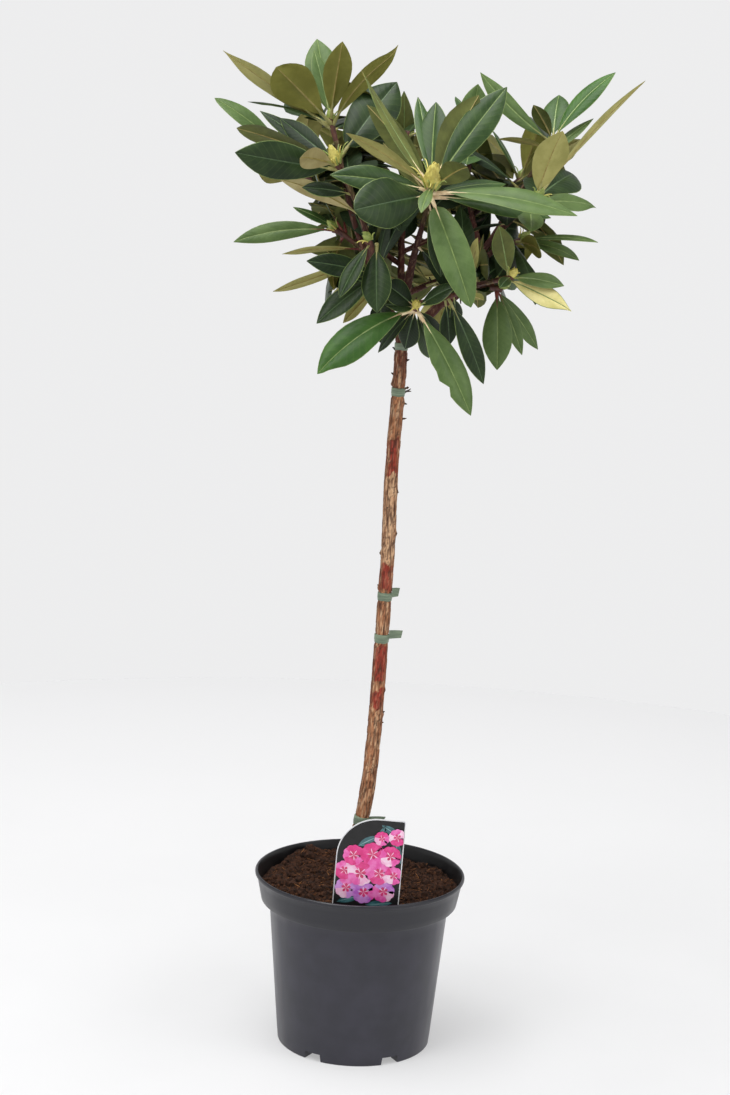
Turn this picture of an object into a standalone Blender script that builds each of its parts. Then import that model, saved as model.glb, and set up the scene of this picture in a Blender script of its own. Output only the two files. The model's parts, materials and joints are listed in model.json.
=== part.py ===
"""Potted standard rhododendron.

A grafted evergreen shrub trained on one bare trunk, in a five litre nursery pot.
Each limb and each mass of foliage is a solid of its own.

Frame: metres, +Z up, origin at the middle of the pot's flat underside.
The front of the plant faces -Y, and its crown leans towards +X.
"""

import math
import random

import bmesh
import bpy
from mathutils import Matrix, Vector, noise

GAP = 0.0003                  # clearance between touching solids
SEED = 41

# Pot: a tapering thin-walled container with a rolled lip above a conical collar
POT_HEIGHT = 0.188
POT_RIM_RADIUS = 0.1125
POT_FOOT_RADIUS = 0.0822
POT_WALL = 0.0020
POT_COLLAR_HEIGHT = 0.032
POT_COLLAR_FOOT_RADIUS = 0.1048
POT_SHOULDER_RADIUS = 0.0962
POT_LIP_HEIGHT = 0.0045
POT_FLOOR_RISE = 0.0040       # floor panel above the foot ring
POT_FOOT_DISC_RADIUS = 0.0180
POT_FOOT_RING_WIDTH = 0.0140
POT_FOOT_SLOPE = 0.0030
POT_EDGE = 0.0012             # small bevels round the foot and the lip
POT_SIDES = 44
NOTCH_COUNT = 6
NOTCH_WIDTH = 0.0215
NOTCH_HEIGHT = 0.0085
NOTCH_SLOPE = 0.0015          # each side of a notch leans in by this
NOTCH_FIRST_BEARING = math.radians(-121)   # the first notch left of the front

# Soil: peat filling the pot, heaped a little at the back left
SOIL_LEVEL = 0.1740
SOIL_HEAP = 0.0105
SOIL_HEAP_PLACE = (-0.058, 0.086)
SOIL_HEAP_WIDTH = 0.030
SOIL_ROUGHNESS = 0.0022
SOIL_CLODS_PER_METRE = 60
SOIL_EDGE_DROP = 0.0010
SOIL_RINGS = 8
SOIL_SIDES = 30
SOIL_SEAT_RADIUS = 0.0170     # flat seat under the trunk
SOIL_SEAT_EASE = 0.0100

# Trunk: (x, y, z) of its middle line from the flat cut at soil level to its fork
TRUNK_COURSE = (
    (-0.0120, 0.000, SOIL_LEVEL + GAP),
    (-0.0075, 0.000, 0.210),
    (0.0020, -0.001, 0.263),
    (0.0075, -0.002, 0.321),
    (0.0112, -0.002, 0.413),
    (0.0147, 0.000, 0.535),
    (0.0150, 0.002, 0.625),
    (0.0185, 0.001, 0.715),
    (0.0198, 0.000, 0.773),
)
TRUNK_FOOT_RADIUS = 0.0082
TRUNK_TOP_RADIUS = 0.0066
TRUNK_FLARE = 0.0050          # extra radius of the root flare at soil level
TRUNK_FLARE_HEIGHT = 0.016
TRUNK_ROOT_RIDGES = 3
TRUNK_UNEVENNESS = 0.05
TRUNK_KNOTS_PER_METRE = 45
TRUNK_SIDES = 12
TRUNK_RINGS = 31

# Tie bands: (height, band height, tab length, tab height), wound round trunk and cane
TIES = (
    (0.2450, 0.0100, 0.0160, 0.004),
    (0.4455, 0.0105, 0.0130, 0.009),
    (0.4905, 0.0095, 0.0070, 0.008),
    (0.7060, 0.0085, 0.0000, 0.000),
    (0.7530, 0.0075, 0.0000, 0.000),
)
TIE_THICKNESS = 0.0013
TIE_RISE = 0.0010             # a free end stands this much above its band's middle
TIE_SIDES = 14

# Label: a printed card on a stem, standing in the soil inside the front of the rim
LABEL_WIDTH = 0.0690
LABEL_TOP = 0.2735
LABEL_FOOT = 0.1770
LABEL_THICKNESS = 0.0010
LABEL_MIDDLE = (0.0065, -0.0840)
LABEL_LEAN = math.radians(2.5)
LABEL_SHOULDER = 0.0420       # radius of the round upper left corner
LABEL_STEM_WIDTH = 0.0200
LABEL_STEM_DEPTH = 0.0350
LABEL_STEM_SHOULDER = 0.0060
LABEL_SHOULDER_STEPS = 8

# Masses of foliage, one round the end of each shoot:
# name, middle, direction in which the shoot grows
MASSES = (
    ("top_left", (-0.062, 0.010, 0.977), (-0.25, 0.00, 1.00)),
    ("left_front", (-0.052, -0.060, 0.935), (-0.60, -0.45, 0.75)),
    ("front", (0.0405, -0.085, 0.916), (0.15, -0.75, 0.70)),
    ("top_right", (0.1645, 0.030, 0.966), (0.40, 0.10, 0.90)),
    ("right", (0.145, -0.045, 0.9083), (0.70, -0.35, 0.60)),
    ("right_low", (0.1340, 0.010, 0.8650), (0.95, 0.10, 0.20)),
    ("right_front", (0.1222, -0.060, 0.8321), (0.70, -0.60, 0.25)),
    ("right_hanging", (0.1156, 0.030, 0.8152), (0.75, 0.20, -0.25)),
    ("front_low", (0.0313, -0.075, 0.7989), (0.00, -0.95, 0.05)),
    ("left_low", (-0.0200, -0.080, 0.8470), (-0.55, -0.70, 0.15)),
    ("left", (-0.0504, 0.020, 0.8672), (-0.95, 0.05, 0.20)),
    ("top", (0.0160, 0.060, 0.9650), (0.00, 0.25, 1.00)),
    ("top_middle", (0.0822, 0.055, 0.9543), (0.25, 0.10, 1.00)),
    ("back_left", (-0.0945, 0.090, 0.9258), (-0.65, 0.55, 0.55)),
    ("back_right", (0.1387, 0.115, 0.9246), (0.55, 0.65, 0.55)),
    ("back", (0.0120, 0.130, 0.9082), (-0.05, 0.90, 0.55)),
    ("back_low", (0.0700, 0.115, 0.8200), (0.35, 0.90, 0.05)),
    ("back_left_low", (-0.0400, 0.085, 0.8150), (-0.60, 0.75, 0.00)),
)
CROWN_MIDDLE = (0.030, 0.020, 0.930)      # of the crown's widest level
CROWN_HALF_WIDTH = 0.168
CROWN_HALF_DEPTH = 0.200
CROWN_RISE = 0.125            # from its widest level to its rounded top
CROWN_DROP = 0.215            # from its widest level to its narrow foot
CROWN_TAPER = 0.75
CROWN_DIP = 0.062             # the top dips between the left and the right half
CROWN_DIP_WIDTH = 0.040
MASS_CORE_RADIUS = 0.030
MASS_LOBE_LENGTH = 0.105
MASS_LOBE_WIDTH = math.radians(30)
MASS_LOBE_SLOPE = 1.25
MASS_UNEVENNESS = 0.12
MASS_DIRECTIONS = 105
MASS_MARGIN = 0.0012          # half the space kept between two masses
MASS_LIMB_MARGIN = 0.0085     # space kept round a passing limb
MASS_SEAT_RADIUS = 0.0200     # from a mass's middle to the end of its own bough
MASS_SEAT_SIDES = 6
MASS_SEAT_SPREAD = math.radians(24)
MASS_SEAT_CLEAR = math.radians(36)     # no leaves grow this near the bough
MASS_LOBE_CLEAR = math.radians(26)     # between the middles of two lobes
MASS_CORNER_CLEAR = math.radians(10)
MASS_TIERS = ((7, 84), (4, 42))        # leaves in each tier, and how far they open in degrees
MASS_RAY_STEP = 0.004

# The crown's furthest leaf tips; each belongs to the mass whose middle is nearest
CROWN_TIPS = (
    # upper left
    (-0.174, 0.010, 1.042), (-0.112, -0.020, 1.032), (-0.081, 0.025, 1.059), (-0.054, 0.000, 1.056),
    (0.008, -0.010, 1.052), (-0.179, -0.020, 0.996), (-0.152, -0.100, 0.944),
    # left and lower left
    (-0.157, 0.010, 0.851), (-0.115, 0.010, 0.803), (-0.066, -0.080, 0.781), (-0.064, -0.110, 0.733),
    # underneath
    (0.047, -0.060, 0.748), (0.090, -0.110, 0.699), (0.103, -0.040, 0.723), (0.123, 0.055, 0.728),
    (0.161, 0.020, 0.755),
    # right and upper right
    (0.184, -0.080, 0.805), (0.199, 0.010, 0.847), (0.218, 0.020, 0.865), (0.211, -0.020, 0.905),
    (0.254, 0.005, 1.031), (0.227, 0.050, 1.039), (0.170, 0.060, 1.013),
    # top
    (0.088, 0.030, 1.032), (0.110, -0.080, 1.017), (0.038, 0.060, 1.002), (0.034, 0.140, 1.000),
    # front
    (0.075, -0.165, 0.795), (0.140, -0.185, 0.885), (-0.045, -0.170, 0.910), (0.060, -0.190, 0.965),
    (-0.087, -0.150, 0.898), (0.180, -0.140, 0.859),
    # back
    (-0.157, 0.080, 0.934), (-0.150, 0.170, 0.970), (-0.096, 0.190, 0.875), (-0.019, 0.235, 0.905),
    (0.050, 0.225, 0.965), (0.130, 0.215, 0.990), (0.194, 0.170, 0.930), (0.120, 0.225, 0.835),
    (0.149, 0.150, 0.777), (0.049, 0.170, 0.751), (-0.034, 0.170, 0.769), (-0.058, 0.110, 0.789),
)

# Limbs: name, the limb it grows from, how far along it, the mass it carries
LIMBS = (
    ("bough_front", "trunk", 1.000, "front"),
    ("bough_left", "trunk", 0.985, "left_front"),
    ("bough_right", "trunk", 0.972, "top_right"),
    ("bough_back", "trunk", 0.990, "back"),
    ("bough_front_low", "bough_front", 0.160, "front_low"),
    ("bough_top_left", "bough_left", 0.450, "top_left"),
    ("bough_left_low", "bough_left", 0.300, "left_low"),
    ("bough_side_left", "bough_left", 0.220, "left"),
    ("bough_top", "bough_back", 0.420, "top"),
    ("bough_top_middle", "bough_right", 0.520, "top_middle"),
    ("bough_side_right", "bough_right", 0.640, "right"),
    ("bough_right_low", "bough_right", 0.440, "right_low"),
    ("bough_right_front", "bough_right", 0.300, "right_front"),
    ("bough_right_hanging", "bough_right", 0.200, "right_hanging"),
    ("bough_back_left", "bough_back", 0.520, "back_left"),
    ("bough_back_right", "bough_back", 0.620, "back_right"),
    ("bough_back_low", "bough_back", 0.280, "back_low"),
    ("bough_back_left_low", "bough_back", 0.200, "back_left_low"),
)
LIMB_TIP_RADIUS = 0.0023
LIMB_FOOT_SHARE = 0.82        # a limb's radius at its foot, as a share of its parent's there
LIMB_SIDES = 6
LIMB_RINGS = 10
LIMB_NEIGHBOUR = 0.06         # limbs this near along their parent share a crotch
LIMB_BULGE = 0.42             # how far a limb follows its two end directions
LIMB_SPREAD = 0.35            # how much a limb sets out sideways
LIMB_TURN = 0.80              # how much a limb ends in its shoot's own direction

UP = Vector((0, 0, 1))
BOX_FACES = ((0, 1, 2, 3), (4, 7, 6, 5), (0, 4, 5, 1), (1, 5, 6, 2), (2, 6, 7, 3), (3, 7, 4, 0))


def clear_scene():
    for old in list(bpy.data.objects):
        bpy.data.objects.remove(old, do_unlink=True)


def material(name, colour, roughness, metallic=0.0):
    finish = bpy.data.materials.new(name)
    finish.use_nodes = True
    shader = finish.node_tree.nodes["Principled BSDF"]
    shader.inputs["Base Color"].default_value = (*colour, 1.0)
    shader.inputs["Roughness"].default_value = roughness
    shader.inputs["Metallic"].default_value = metallic
    finish.diffuse_color = (*colour, 1.0)
    return finish


def make_object(name, vertices, faces, finish=None, smooth=False):
    mesh = bpy.data.meshes.new(name)
    mesh.from_pydata([tuple(v) for v in vertices], [], faces)
    shape = bmesh.new()
    shape.from_mesh(mesh)
    bmesh.ops.recalc_face_normals(shape, faces=shape.faces)
    shape.to_mesh(mesh)
    shape.free()
    if finish:
        mesh.materials.append(finish)
    if smooth:
        mesh.shade_smooth()
    placed = bpy.data.objects.new(name, mesh)
    bpy.context.scene.collection.objects.link(placed)
    return placed


def make_cutter(name, vertices, faces):
    cutter = make_object(name, vertices, faces)
    cutter.hide_render = True
    cutter.display_type = "WIRE"
    return cutter


def add_boolean(target, cutter, operation="DIFFERENCE"):
    cut = target.modifiers.new("cut_" + cutter.name, "BOOLEAN")
    cut.operation = operation
    cut.solver = "EXACT"
    cut.object = cutter


def smooth_course(points, count):
    """Points at even steps along a Catmull-Rom curve through the given ones."""
    knots = [Vector(p) for p in points]
    knots = [2 * knots[0] - knots[1], *knots, 2 * knots[-1] - knots[-2]]
    spans = len(knots) - 3
    course = []
    for i in range(count):
        at = i / (count - 1) * spans
        k = min(int(at), spans - 1)
        t = at - k
        p0, p1, p2, p3 = knots[k:k + 4]
        course.append(0.5 * (2 * p1 + (p2 - p0) * t + (2 * p0 - 5 * p1 + 4 * p2 - p3) * t * t
                             + (3 * p1 - p0 - 3 * p2 + p3) * t ** 3))
    return course


def bezier_course(start, start_pull, end_pull, end):
    course = []
    for i in range(LIMB_RINGS):
        t = i / (LIMB_RINGS - 1)
        s = 1 - t
        course.append(start * s ** 3 + start_pull * 3 * s * s * t + end_pull * 3 * s * t * t + end * t ** 3)
    return course


def course_frames(course, first_up=None):
    """A right and an upright direction across the course at each of its points."""
    frames = []
    side = Vector((1, 0, 0))
    for i, here in enumerate(course):
        ahead = course[min(i + 1, len(course) - 1)] - course[max(i - 1, 0)]
        if first_up and i == 0:
            ahead = first_up
        ahead = ahead.normalized()
        side = (side - ahead * side.dot(ahead)).normalized()
        frames.append((here, side.copy(), ahead.cross(side), ahead))
    return frames


def round_ring(middle, across, upright, radius, sides):
    """Points round a middle; the radius is a length, or a function of the bearing."""
    ring = []
    for s in range(sides):
        bearing = 2 * math.pi * s / sides
        reach = radius(bearing) if callable(radius) else radius
        ring.append(middle + (across * math.cos(bearing) + upright * math.sin(bearing)) * reach)
    return ring


def level_ring(radius, height, sides):
    return round_ring(UP * height, Vector((1, 0, 0)), Vector((0, 1, 0)), radius, sides)


def skin_faces(ring_count, sides, closed=False):
    """Four-sided faces between rings that follow each other, and back to the first if closed."""
    faces = []
    for r in range(ring_count if closed else ring_count - 1):
        a = r * sides
        b = (r + 1) % ring_count * sides
        for s in range(sides):
            t = (s + 1) % sides
            faces.append((a + s, a + t, b + t, b + s))
    return faces


def tube_mesh(rings):
    """Vertices and faces of a closed tube with flat ends from rings of equal size."""
    sides = len(rings[0])
    last = (len(rings) - 1) * sides
    ends = [tuple(reversed(range(sides))), tuple(range(last, last + sides))]
    return [p for ring in rings for p in ring], skin_faces(len(rings), sides) + ends


def domed_mesh(rings, first, last):
    """The same, with a point in the middle of each end."""
    sides = len(rings[0])
    vertices = [p for ring in rings for p in ring] + [first, last]
    faces = skin_faces(len(rings), sides)
    end = (len(rings) - 1) * sides
    for s in range(sides):
        t = (s + 1) % sides
        faces.append((t, s, len(vertices) - 2))
        faces.append((end + s, end + t, len(vertices) - 1))
    return vertices, faces


# ---------------------------------------------------------------- pot and soil

POT_COLLAR_FOOT = POT_HEIGHT - POT_COLLAR_HEIGHT
POT_FLOOR_TOP = POT_FLOOR_RISE + POT_WALL


def wall_radius(height):
    """Outer radius of the straight tapering wall below the collar."""
    return POT_FOOT_RADIUS + (POT_SHOULDER_RADIUS - POT_FOOT_RADIUS) * height / POT_COLLAR_FOOT


def collar_radius(height):
    rise = (height - POT_COLLAR_FOOT) / POT_COLLAR_HEIGHT
    return POT_COLLAR_FOOT_RADIUS + (POT_RIM_RADIUS - POT_EDGE - POT_COLLAR_FOOT_RADIUS) * rise


def inner_radius(height):
    """Radius of the pot's inside, which follows the wall and then the collar."""
    if height < POT_COLLAR_FOOT:
        return wall_radius(height) - POT_WALL
    step = min(1.0, (height - POT_COLLAR_FOOT) / (2 * POT_WALL))
    below = wall_radius(POT_COLLAR_FOOT) - POT_WALL
    return below + (collar_radius(height) - POT_WALL - below) * step


def make_pot():
    ring_inside = POT_FOOT_RADIUS - POT_FOOT_RING_WIDTH
    lip_foot = POT_HEIGHT - POT_LIP_HEIGHT
    step = 2 * POT_WALL
    profile = [
        (0, 0),
        (POT_FOOT_DISC_RADIUS, 0),
        (POT_FOOT_DISC_RADIUS + POT_FOOT_SLOPE, POT_FLOOR_RISE),
        (ring_inside - POT_FOOT_SLOPE, POT_FLOOR_RISE),
        (ring_inside, 0),
        (POT_FOOT_RADIUS - POT_EDGE, 0),
        (wall_radius(POT_EDGE), POT_EDGE),
        (wall_radius(POT_COLLAR_FOOT), POT_COLLAR_FOOT),
        (POT_COLLAR_FOOT_RADIUS - POT_EDGE, POT_COLLAR_FOOT),
        (collar_radius(POT_COLLAR_FOOT + POT_EDGE), POT_COLLAR_FOOT + POT_EDGE),
        (collar_radius(lip_foot), lip_foot),
        (POT_RIM_RADIUS, lip_foot + POT_EDGE),
        (POT_RIM_RADIUS, POT_HEIGHT - POT_EDGE),
        (POT_RIM_RADIUS - POT_EDGE, POT_HEIGHT),
        (POT_RIM_RADIUS - POT_WALL - POT_EDGE / 2, POT_HEIGHT),
        (inner_radius(lip_foot), lip_foot),
        (inner_radius(POT_COLLAR_FOOT + step), POT_COLLAR_FOOT + step),
        (inner_radius(POT_COLLAR_FOOT), POT_COLLAR_FOOT),
        (inner_radius(POT_FLOOR_TOP), POT_FLOOR_TOP),
        (0, POT_FLOOR_TOP),
    ]
    finish = material("charcoal_plastic", (0.045, 0.047, 0.055), 0.42)
    rings = [level_ring(radius, height, POT_SIDES) for radius, height in profile[1:-1]]
    mesh = domed_mesh(rings, UP * profile[0][1], UP * profile[-1][1])
    pot = make_object("pot", *mesh, finish, smooth=True)
    pot.data.set_sharp_from_angle(angle=math.radians(32))
    vertices = []
    faces = []
    near, far = ring_inside - POT_EDGE, POT_RIM_RADIUS
    for n in range(NOTCH_COUNT):
        turn = Matrix.Rotation(NOTCH_FIRST_BEARING + 2 * math.pi * n / NOTCH_COUNT, 3, "Z")
        faces.extend(tuple(len(vertices) + corner for corner in face) for face in BOX_FACES)
        for height, half in ((-NOTCH_HEIGHT, NOTCH_WIDTH / 2), (NOTCH_HEIGHT, NOTCH_WIDTH / 2 - NOTCH_SLOPE)):
            for radius, side in ((near, -half), (far, -half), (far, half), (near, half)):
                vertices.append(turn @ Vector((radius, side, height)))
    add_boolean(pot, make_cutter("pot_notches", vertices, faces))


def soil_height(x, y):
    """Height of the uneven peat surface, level under the trunk."""
    heap = math.exp(-(math.dist((x, y), SOIL_HEAP_PLACE) / SOIL_HEAP_WIDTH) ** 2)
    rough = noise.noise(Vector((x, y, 0)) * SOIL_CLODS_PER_METRE) * SOIL_ROUGHNESS
    from_trunk = math.dist((x, y), TRUNK_COURSE[0][:2])
    free = min(1.0, max(0.0, (from_trunk - SOIL_SEAT_RADIUS) / SOIL_SEAT_EASE))
    return SOIL_LEVEL + free * (SOIL_HEAP * heap + rough)


def make_soil():
    foot = POT_FLOOR_TOP + GAP
    rings = []
    for height in (foot, POT_COLLAR_FOOT, POT_COLLAR_FOOT + 2 * POT_WALL):
        rings.append(level_ring(inner_radius(height) - 2 * GAP, height, SOIL_SIDES))
    edge = level_ring(inner_radius(SOIL_LEVEL) - 3 * GAP, SOIL_LEVEL - SOIL_EDGE_DROP, SOIL_SIDES)
    rings.append(edge)
    centre = Vector((*TRUNK_COURSE[0][:2], SOIL_LEVEL))
    for n in range(1, SOIL_RINGS):
        ring = [point.lerp(centre, n / SOIL_RINGS) for point in edge]
        for point in ring:
            point.z = soil_height(point.x, point.y)
        rings.append(ring)
    finish = material("peat", (0.075, 0.045, 0.030), 0.95)
    return make_object("soil", *domed_mesh(rings, UP * foot, centre), finish)


# ----------------------------------------------------------------- trunk, ties

def trunk_radius(share, height, bearing):
    """Radius of the trunk: its taper, its knobs and bark, and the flare at its foot."""
    radius = TRUNK_FOOT_RADIUS + (TRUNK_TOP_RADIUS - TRUNK_FOOT_RADIUS) * share
    around = Vector((math.cos(bearing), math.sin(bearing), height * TRUNK_KNOTS_PER_METRE))
    radius *= 1 + TRUNK_UNEVENNESS * noise.noise(around)
    above = height - TRUNK_COURSE[0][2]
    flare = TRUNK_FLARE * math.exp(-above / TRUNK_FLARE_HEIGHT)
    return radius + flare * (0.75 + 0.25 * math.cos(TRUNK_ROOT_RIDGES * bearing))


def trunk_rings(frames, grow=0.0):
    """The trunk's outline at each step, level at its foot and at its fork."""
    rings = []
    for i, (here, across, upright, _) in enumerate(frames):
        share = i / (TRUNK_RINGS - 1)
        rings.append(round_ring(here, across, upright,
                                lambda bearing: trunk_radius(share, here.z, bearing) + grow, TRUNK_SIDES))
    for ring, level in ((rings[0], TRUNK_COURSE[0][2] - grow), (rings[-1], TRUNK_COURSE[-1][2] + grow)):
        for point in ring:
            point.z = level
    return rings


def make_trunk():
    """The trunk as a tube, and its middle line."""
    course = smooth_course(TRUNK_COURSE, TRUNK_RINGS)
    frames = course_frames(course, first_up=UP)
    finish = material("red_brown_bark", (0.330, 0.130, 0.070), 0.80)
    make_object("trunk", *tube_mesh(trunk_rings(frames)), finish, smooth=True)
    return course, frames


def make_tie(number, tie, frames, finish):
    """A band round the trunk; a free end may stand out to the right."""
    height, band, tab_length, tab_height = tie
    above = next(i for i, frame in enumerate(frames) if frame[0].z > height)
    low, high = frames[above - 1], frames[above]
    middle = low[0].lerp(high[0], (height - low[0].z) / (high[0].z - low[0].z))
    _, across, upright, ahead = low
    bearings = [2 * math.pi * s / TRUNK_SIDES for s in range(TRUNK_SIDES)]
    widest = max(trunk_radius(above / TRUNK_RINGS, height + rise, bearing)
                 for bearing in bearings for rise in (-band, 0, band))
    inner = widest + 3 * GAP
    outer = inner + TIE_THICKNESS
    rings = []
    for radius, along in ((inner, -band / 2), (outer, -band / 2), (outer, band / 2), (inner, band / 2)):
        rings.append(round_ring(middle + ahead * along, across, upright, radius, TIE_SIDES))
    vertices = [point for ring in rings for point in ring]
    ring = make_object(f"tie_{number}", vertices, skin_faces(4, TIE_SIDES, closed=True), finish)
    if not tab_length:
        return
    start, end = inner + TIE_THICKNESS / 3, inner + tab_length
    half = TIE_THICKNESS / 2
    corners = []
    for along in (TIE_RISE - tab_height / 2, TIE_RISE + tab_height / 2):
        for reach, side in ((start, -half), (end, -half), (end, half), (start, half)):
            corners.append(middle + Vector((reach, side, 0)) + ahead * along)
    add_boolean(ring, make_cutter(f"tie_{number}_tab", corners, BOX_FACES), "UNION")


# ----------------------------------------------------------------------- label

def label_outline(grow=0.0):
    """Outline of the card and its stem, as (across, up) from the middle of its foot."""
    half = LABEL_WIDTH / 2 + grow
    tall = LABEL_TOP - LABEL_FOOT + grow
    stem = LABEL_STEM_WIDTH / 2 + grow
    point = -LABEL_STEM_DEPTH - grow
    points = [(-half, -grow), (-stem, -LABEL_STEM_SHOULDER), (-stem / 2, point)]
    points += [(stem / 2, point), (stem, -LABEL_STEM_SHOULDER), (half, -grow), (half, tall)]
    for n in range(LABEL_SHOULDER_STEPS + 1):
        turn = math.pi / 2 * (1 + n / LABEL_SHOULDER_STEPS)
        points.append((-half + LABEL_SHOULDER * (1 + math.cos(turn)),
                       tall - LABEL_SHOULDER * (1 - math.sin(turn))))
    return points


def label_mesh(grow=0.0):
    outline = label_outline(grow)
    place = Matrix.Translation((*LABEL_MIDDLE, LABEL_FOOT)) @ Matrix.Rotation(LABEL_LEAN, 4, "Y")
    half = LABEL_THICKNESS / 2 + grow
    front = [place @ Vector((x, -half, z)) for x, z in outline]
    back = [place @ Vector((x, half, z)) for x, z in outline]
    return tube_mesh([front, back])


def make_label(soil):
    finish = material("printed_card", (0.60, 0.10, 0.30), 0.35)
    make_object("label", *label_mesh(), finish)
    add_boolean(soil, make_cutter("label_slot", *label_mesh(grow=GAP)))


# ----------------------------------------------------------------------- limbs

def limb_radius(foot_radius, share):
    return foot_radius + (LIMB_TIP_RADIUS - foot_radius) * share ** 0.8


def foot_radii():
    """Each limb's radius at its foot, worked out from its parent's."""
    radii = {}
    for name, parent, share, _ in LIMBS:
        there = TRUNK_TOP_RADIUS if parent == "trunk" else limb_radius(radii[parent], share)
        radii[name] = there * LIMB_FOOT_SHARE
    return radii


def limb_mesh(course, foot_radius, grow=0.0, level_foot=False):
    rings = []
    for i, (here, across, upright, _) in enumerate(course_frames(course, UP if level_foot else None)):
        radius = limb_radius(foot_radius, i / (len(course) - 1)) + grow
        rings.append(round_ring(here, across, upright, radius, LIMB_SIDES))
    return tube_mesh(rings)


def course_point(course, share):
    at = share * (len(course) - 1)
    k = min(int(at), len(course) - 2)
    return course[k].lerp(course[k + 1], at - k)


def plan_limbs(trunk_course):
    """The middle line of each limb, from its parent's middle line to its mass."""
    courses = {"trunk": trunk_course}
    masses = {name: (Vector(middle), Vector(grows).normalized()) for name, middle, grows in MASSES}
    for name, parent, share, mass in LIMBS:
        start = course_point(courses[parent], share)
        if share == 1.0:
            start = start + UP * GAP
        middle, grows = masses[mass]
        straight = (middle - start).normalized()
        aim = (straight + grows * LIMB_TURN).normalized()
        end = middle - aim * MASS_SEAT_RADIUS
        pull = (end - start).length * LIMB_BULGE
        sideways = Vector((straight.x, straight.y, 0)).normalized()
        ahead = (straight + sideways * LIMB_SPREAD).normalized()
        if share == 1.0:
            ahead = (UP + straight * LIMB_SPREAD).normalized()
        courses[name] = bezier_course(start, start + ahead * pull, end - aim * pull, end)
    return courses


def make_limbs(courses, trunk_frames):
    bark = material("young_bark", (0.300, 0.100, 0.060), 0.75)
    radii = foot_radii()
    spaces = {"trunk": make_cutter("trunk_space", *tube_mesh(trunk_rings(trunk_frames, grow=GAP)))}
    for i, (name, parent, share, _) in enumerate(LIMBS):
        on_top = share == 1.0
        limb = make_object(name, *limb_mesh(courses[name], radii[name], level_foot=on_top), bark, smooth=True)
        grown = limb_mesh(courses[name], radii[name], grow=GAP, level_foot=on_top)
        spaces[name] = make_cutter(name + "_space", *grown)
        if not on_top:
            add_boolean(limb, spaces[parent])
        for other, other_parent, other_share, _ in LIMBS[:i]:
            if other_parent == parent and abs(other_share - share) < LIMB_NEIGHBOUR:
                add_boolean(limb, spaces[other])


# ---------------------------------------------------------------------- masses

def even_directions(count):
    """Directions spread evenly over a sphere."""
    spread = []
    for i in range(count):
        height = 1 - (2 * i + 1) / count
        bearing = i * math.pi * (3 - math.sqrt(5))
        level = math.sqrt(1 - height * height)
        spread.append(Vector((level * math.cos(bearing), level * math.sin(bearing), height)))
    return spread


def limb_limit(middle, direction, limit, obstacles):
    """How far a ray can go from a mass's middle before it comes near a passing limb."""
    at = MASS_RAY_STEP
    while at < limit:
        here = middle + direction * at
        if any((here - point).length < clear for point, clear in obstacles):
            return max(at - MASS_RAY_STEP, 2 * MASS_RAY_STEP)
        at += MASS_RAY_STEP
    return limit


def passing_limbs(mass, courses):
    """Points along every limb but the end of the mass's own, each with the space it needs."""
    radii = foot_radii()
    own = next(name for name, _, _, carried in LIMBS if carried == mass)
    obstacles = []
    for limb, course in courses.items():
        clear = radii.get(limb, TRUNK_TOP_RADIUS) + MASS_LIMB_MARGIN
        last = len(course) - (3 if limb == own else 1)
        for i in range(last * 3 + 1):
            obstacles.append((course_point(course, i / 3 / (len(course) - 1)), clear))
    return obstacles


def mass_reach(middle, direction, lobes):
    """How far a mass reaches in a direction: its uneven core, or the side of a lobe."""
    core = MASS_CORE_RADIUS * (1 + MASS_UNEVENNESS * noise.noise(middle * 100 + direction * 2))
    reach = core
    for lobe, length in lobes:
        apart = direction.angle(lobe)
        if apart < MASS_LOBE_WIDTH:
            side = (1 - apart / MASS_LOBE_WIDTH) ** MASS_LOBE_SLOPE
            reach = max(reach, core + (length - core) * side)
    return reach


def inside_crown(point):
    """Whether a point lies inside the top-shaped space that the crown fills."""
    offset = point - Vector(CROWN_MIDDLE)
    if offset.z > 0:
        rise = CROWN_RISE - CROWN_DIP * math.exp(-(offset.x / CROWN_DIP_WIDTH) ** 2)
        width = math.sqrt(max(0.0, 1 - (offset.z / rise) ** 2))
    else:
        width = max(0.0, 1 + offset.z / CROWN_DROP) ** CROWN_TAPER
    return math.hypot(offset.x / CROWN_HALF_WIDTH, offset.y / CROWN_HALF_DEPTH) < width


def rule_lobes(middle, grows, taken, chance):
    """Two tiers of leaves round a shoot, where no chosen tip lies nearby."""
    across = grows.orthogonal().normalized()
    lobes = []
    first = chance.uniform(0, 2 * math.pi)
    for tier, (count, open_angle) in enumerate(MASS_TIERS):
        for n in range(count):
            bearing = first + tier * 0.5 + 2 * math.pi * n / count + chance.uniform(-0.15, 0.15)
            tilt = math.radians(open_angle + chance.uniform(-9, 9))
            out = Matrix.Rotation(bearing, 3, grows) @ across
            direction = grows * math.cos(tilt) + out * math.sin(tilt)
            length = MASS_LOBE_LENGTH * chance.uniform(0.82, 1.0)
            while length > MASS_CORE_RADIUS and not inside_crown(middle + direction * length):
                length *= 0.92
            if all(direction.angle(other) > MASS_LOBE_CLEAR for other in taken):
                lobes.append((direction, length))
                taken.append(direction)
    return lobes


def seat_corners(entry):
    """A small flat face square to the bough, where its end meets the mass."""
    reach = MASS_SEAT_RADIUS - GAP
    around = entry.orthogonal().normalized()
    corners = [(entry, reach)]
    for n in range(MASS_SEAT_SIDES):
        side = Matrix.Rotation(2 * math.pi * n / MASS_SEAT_SIDES, 3, entry) @ around
        direction = entry * math.cos(MASS_SEAT_SPREAD) + side * math.sin(MASS_SEAT_SPREAD)
        corners.append((direction, reach / math.cos(MASS_SEAT_SPREAD)))
    return corners


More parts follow.
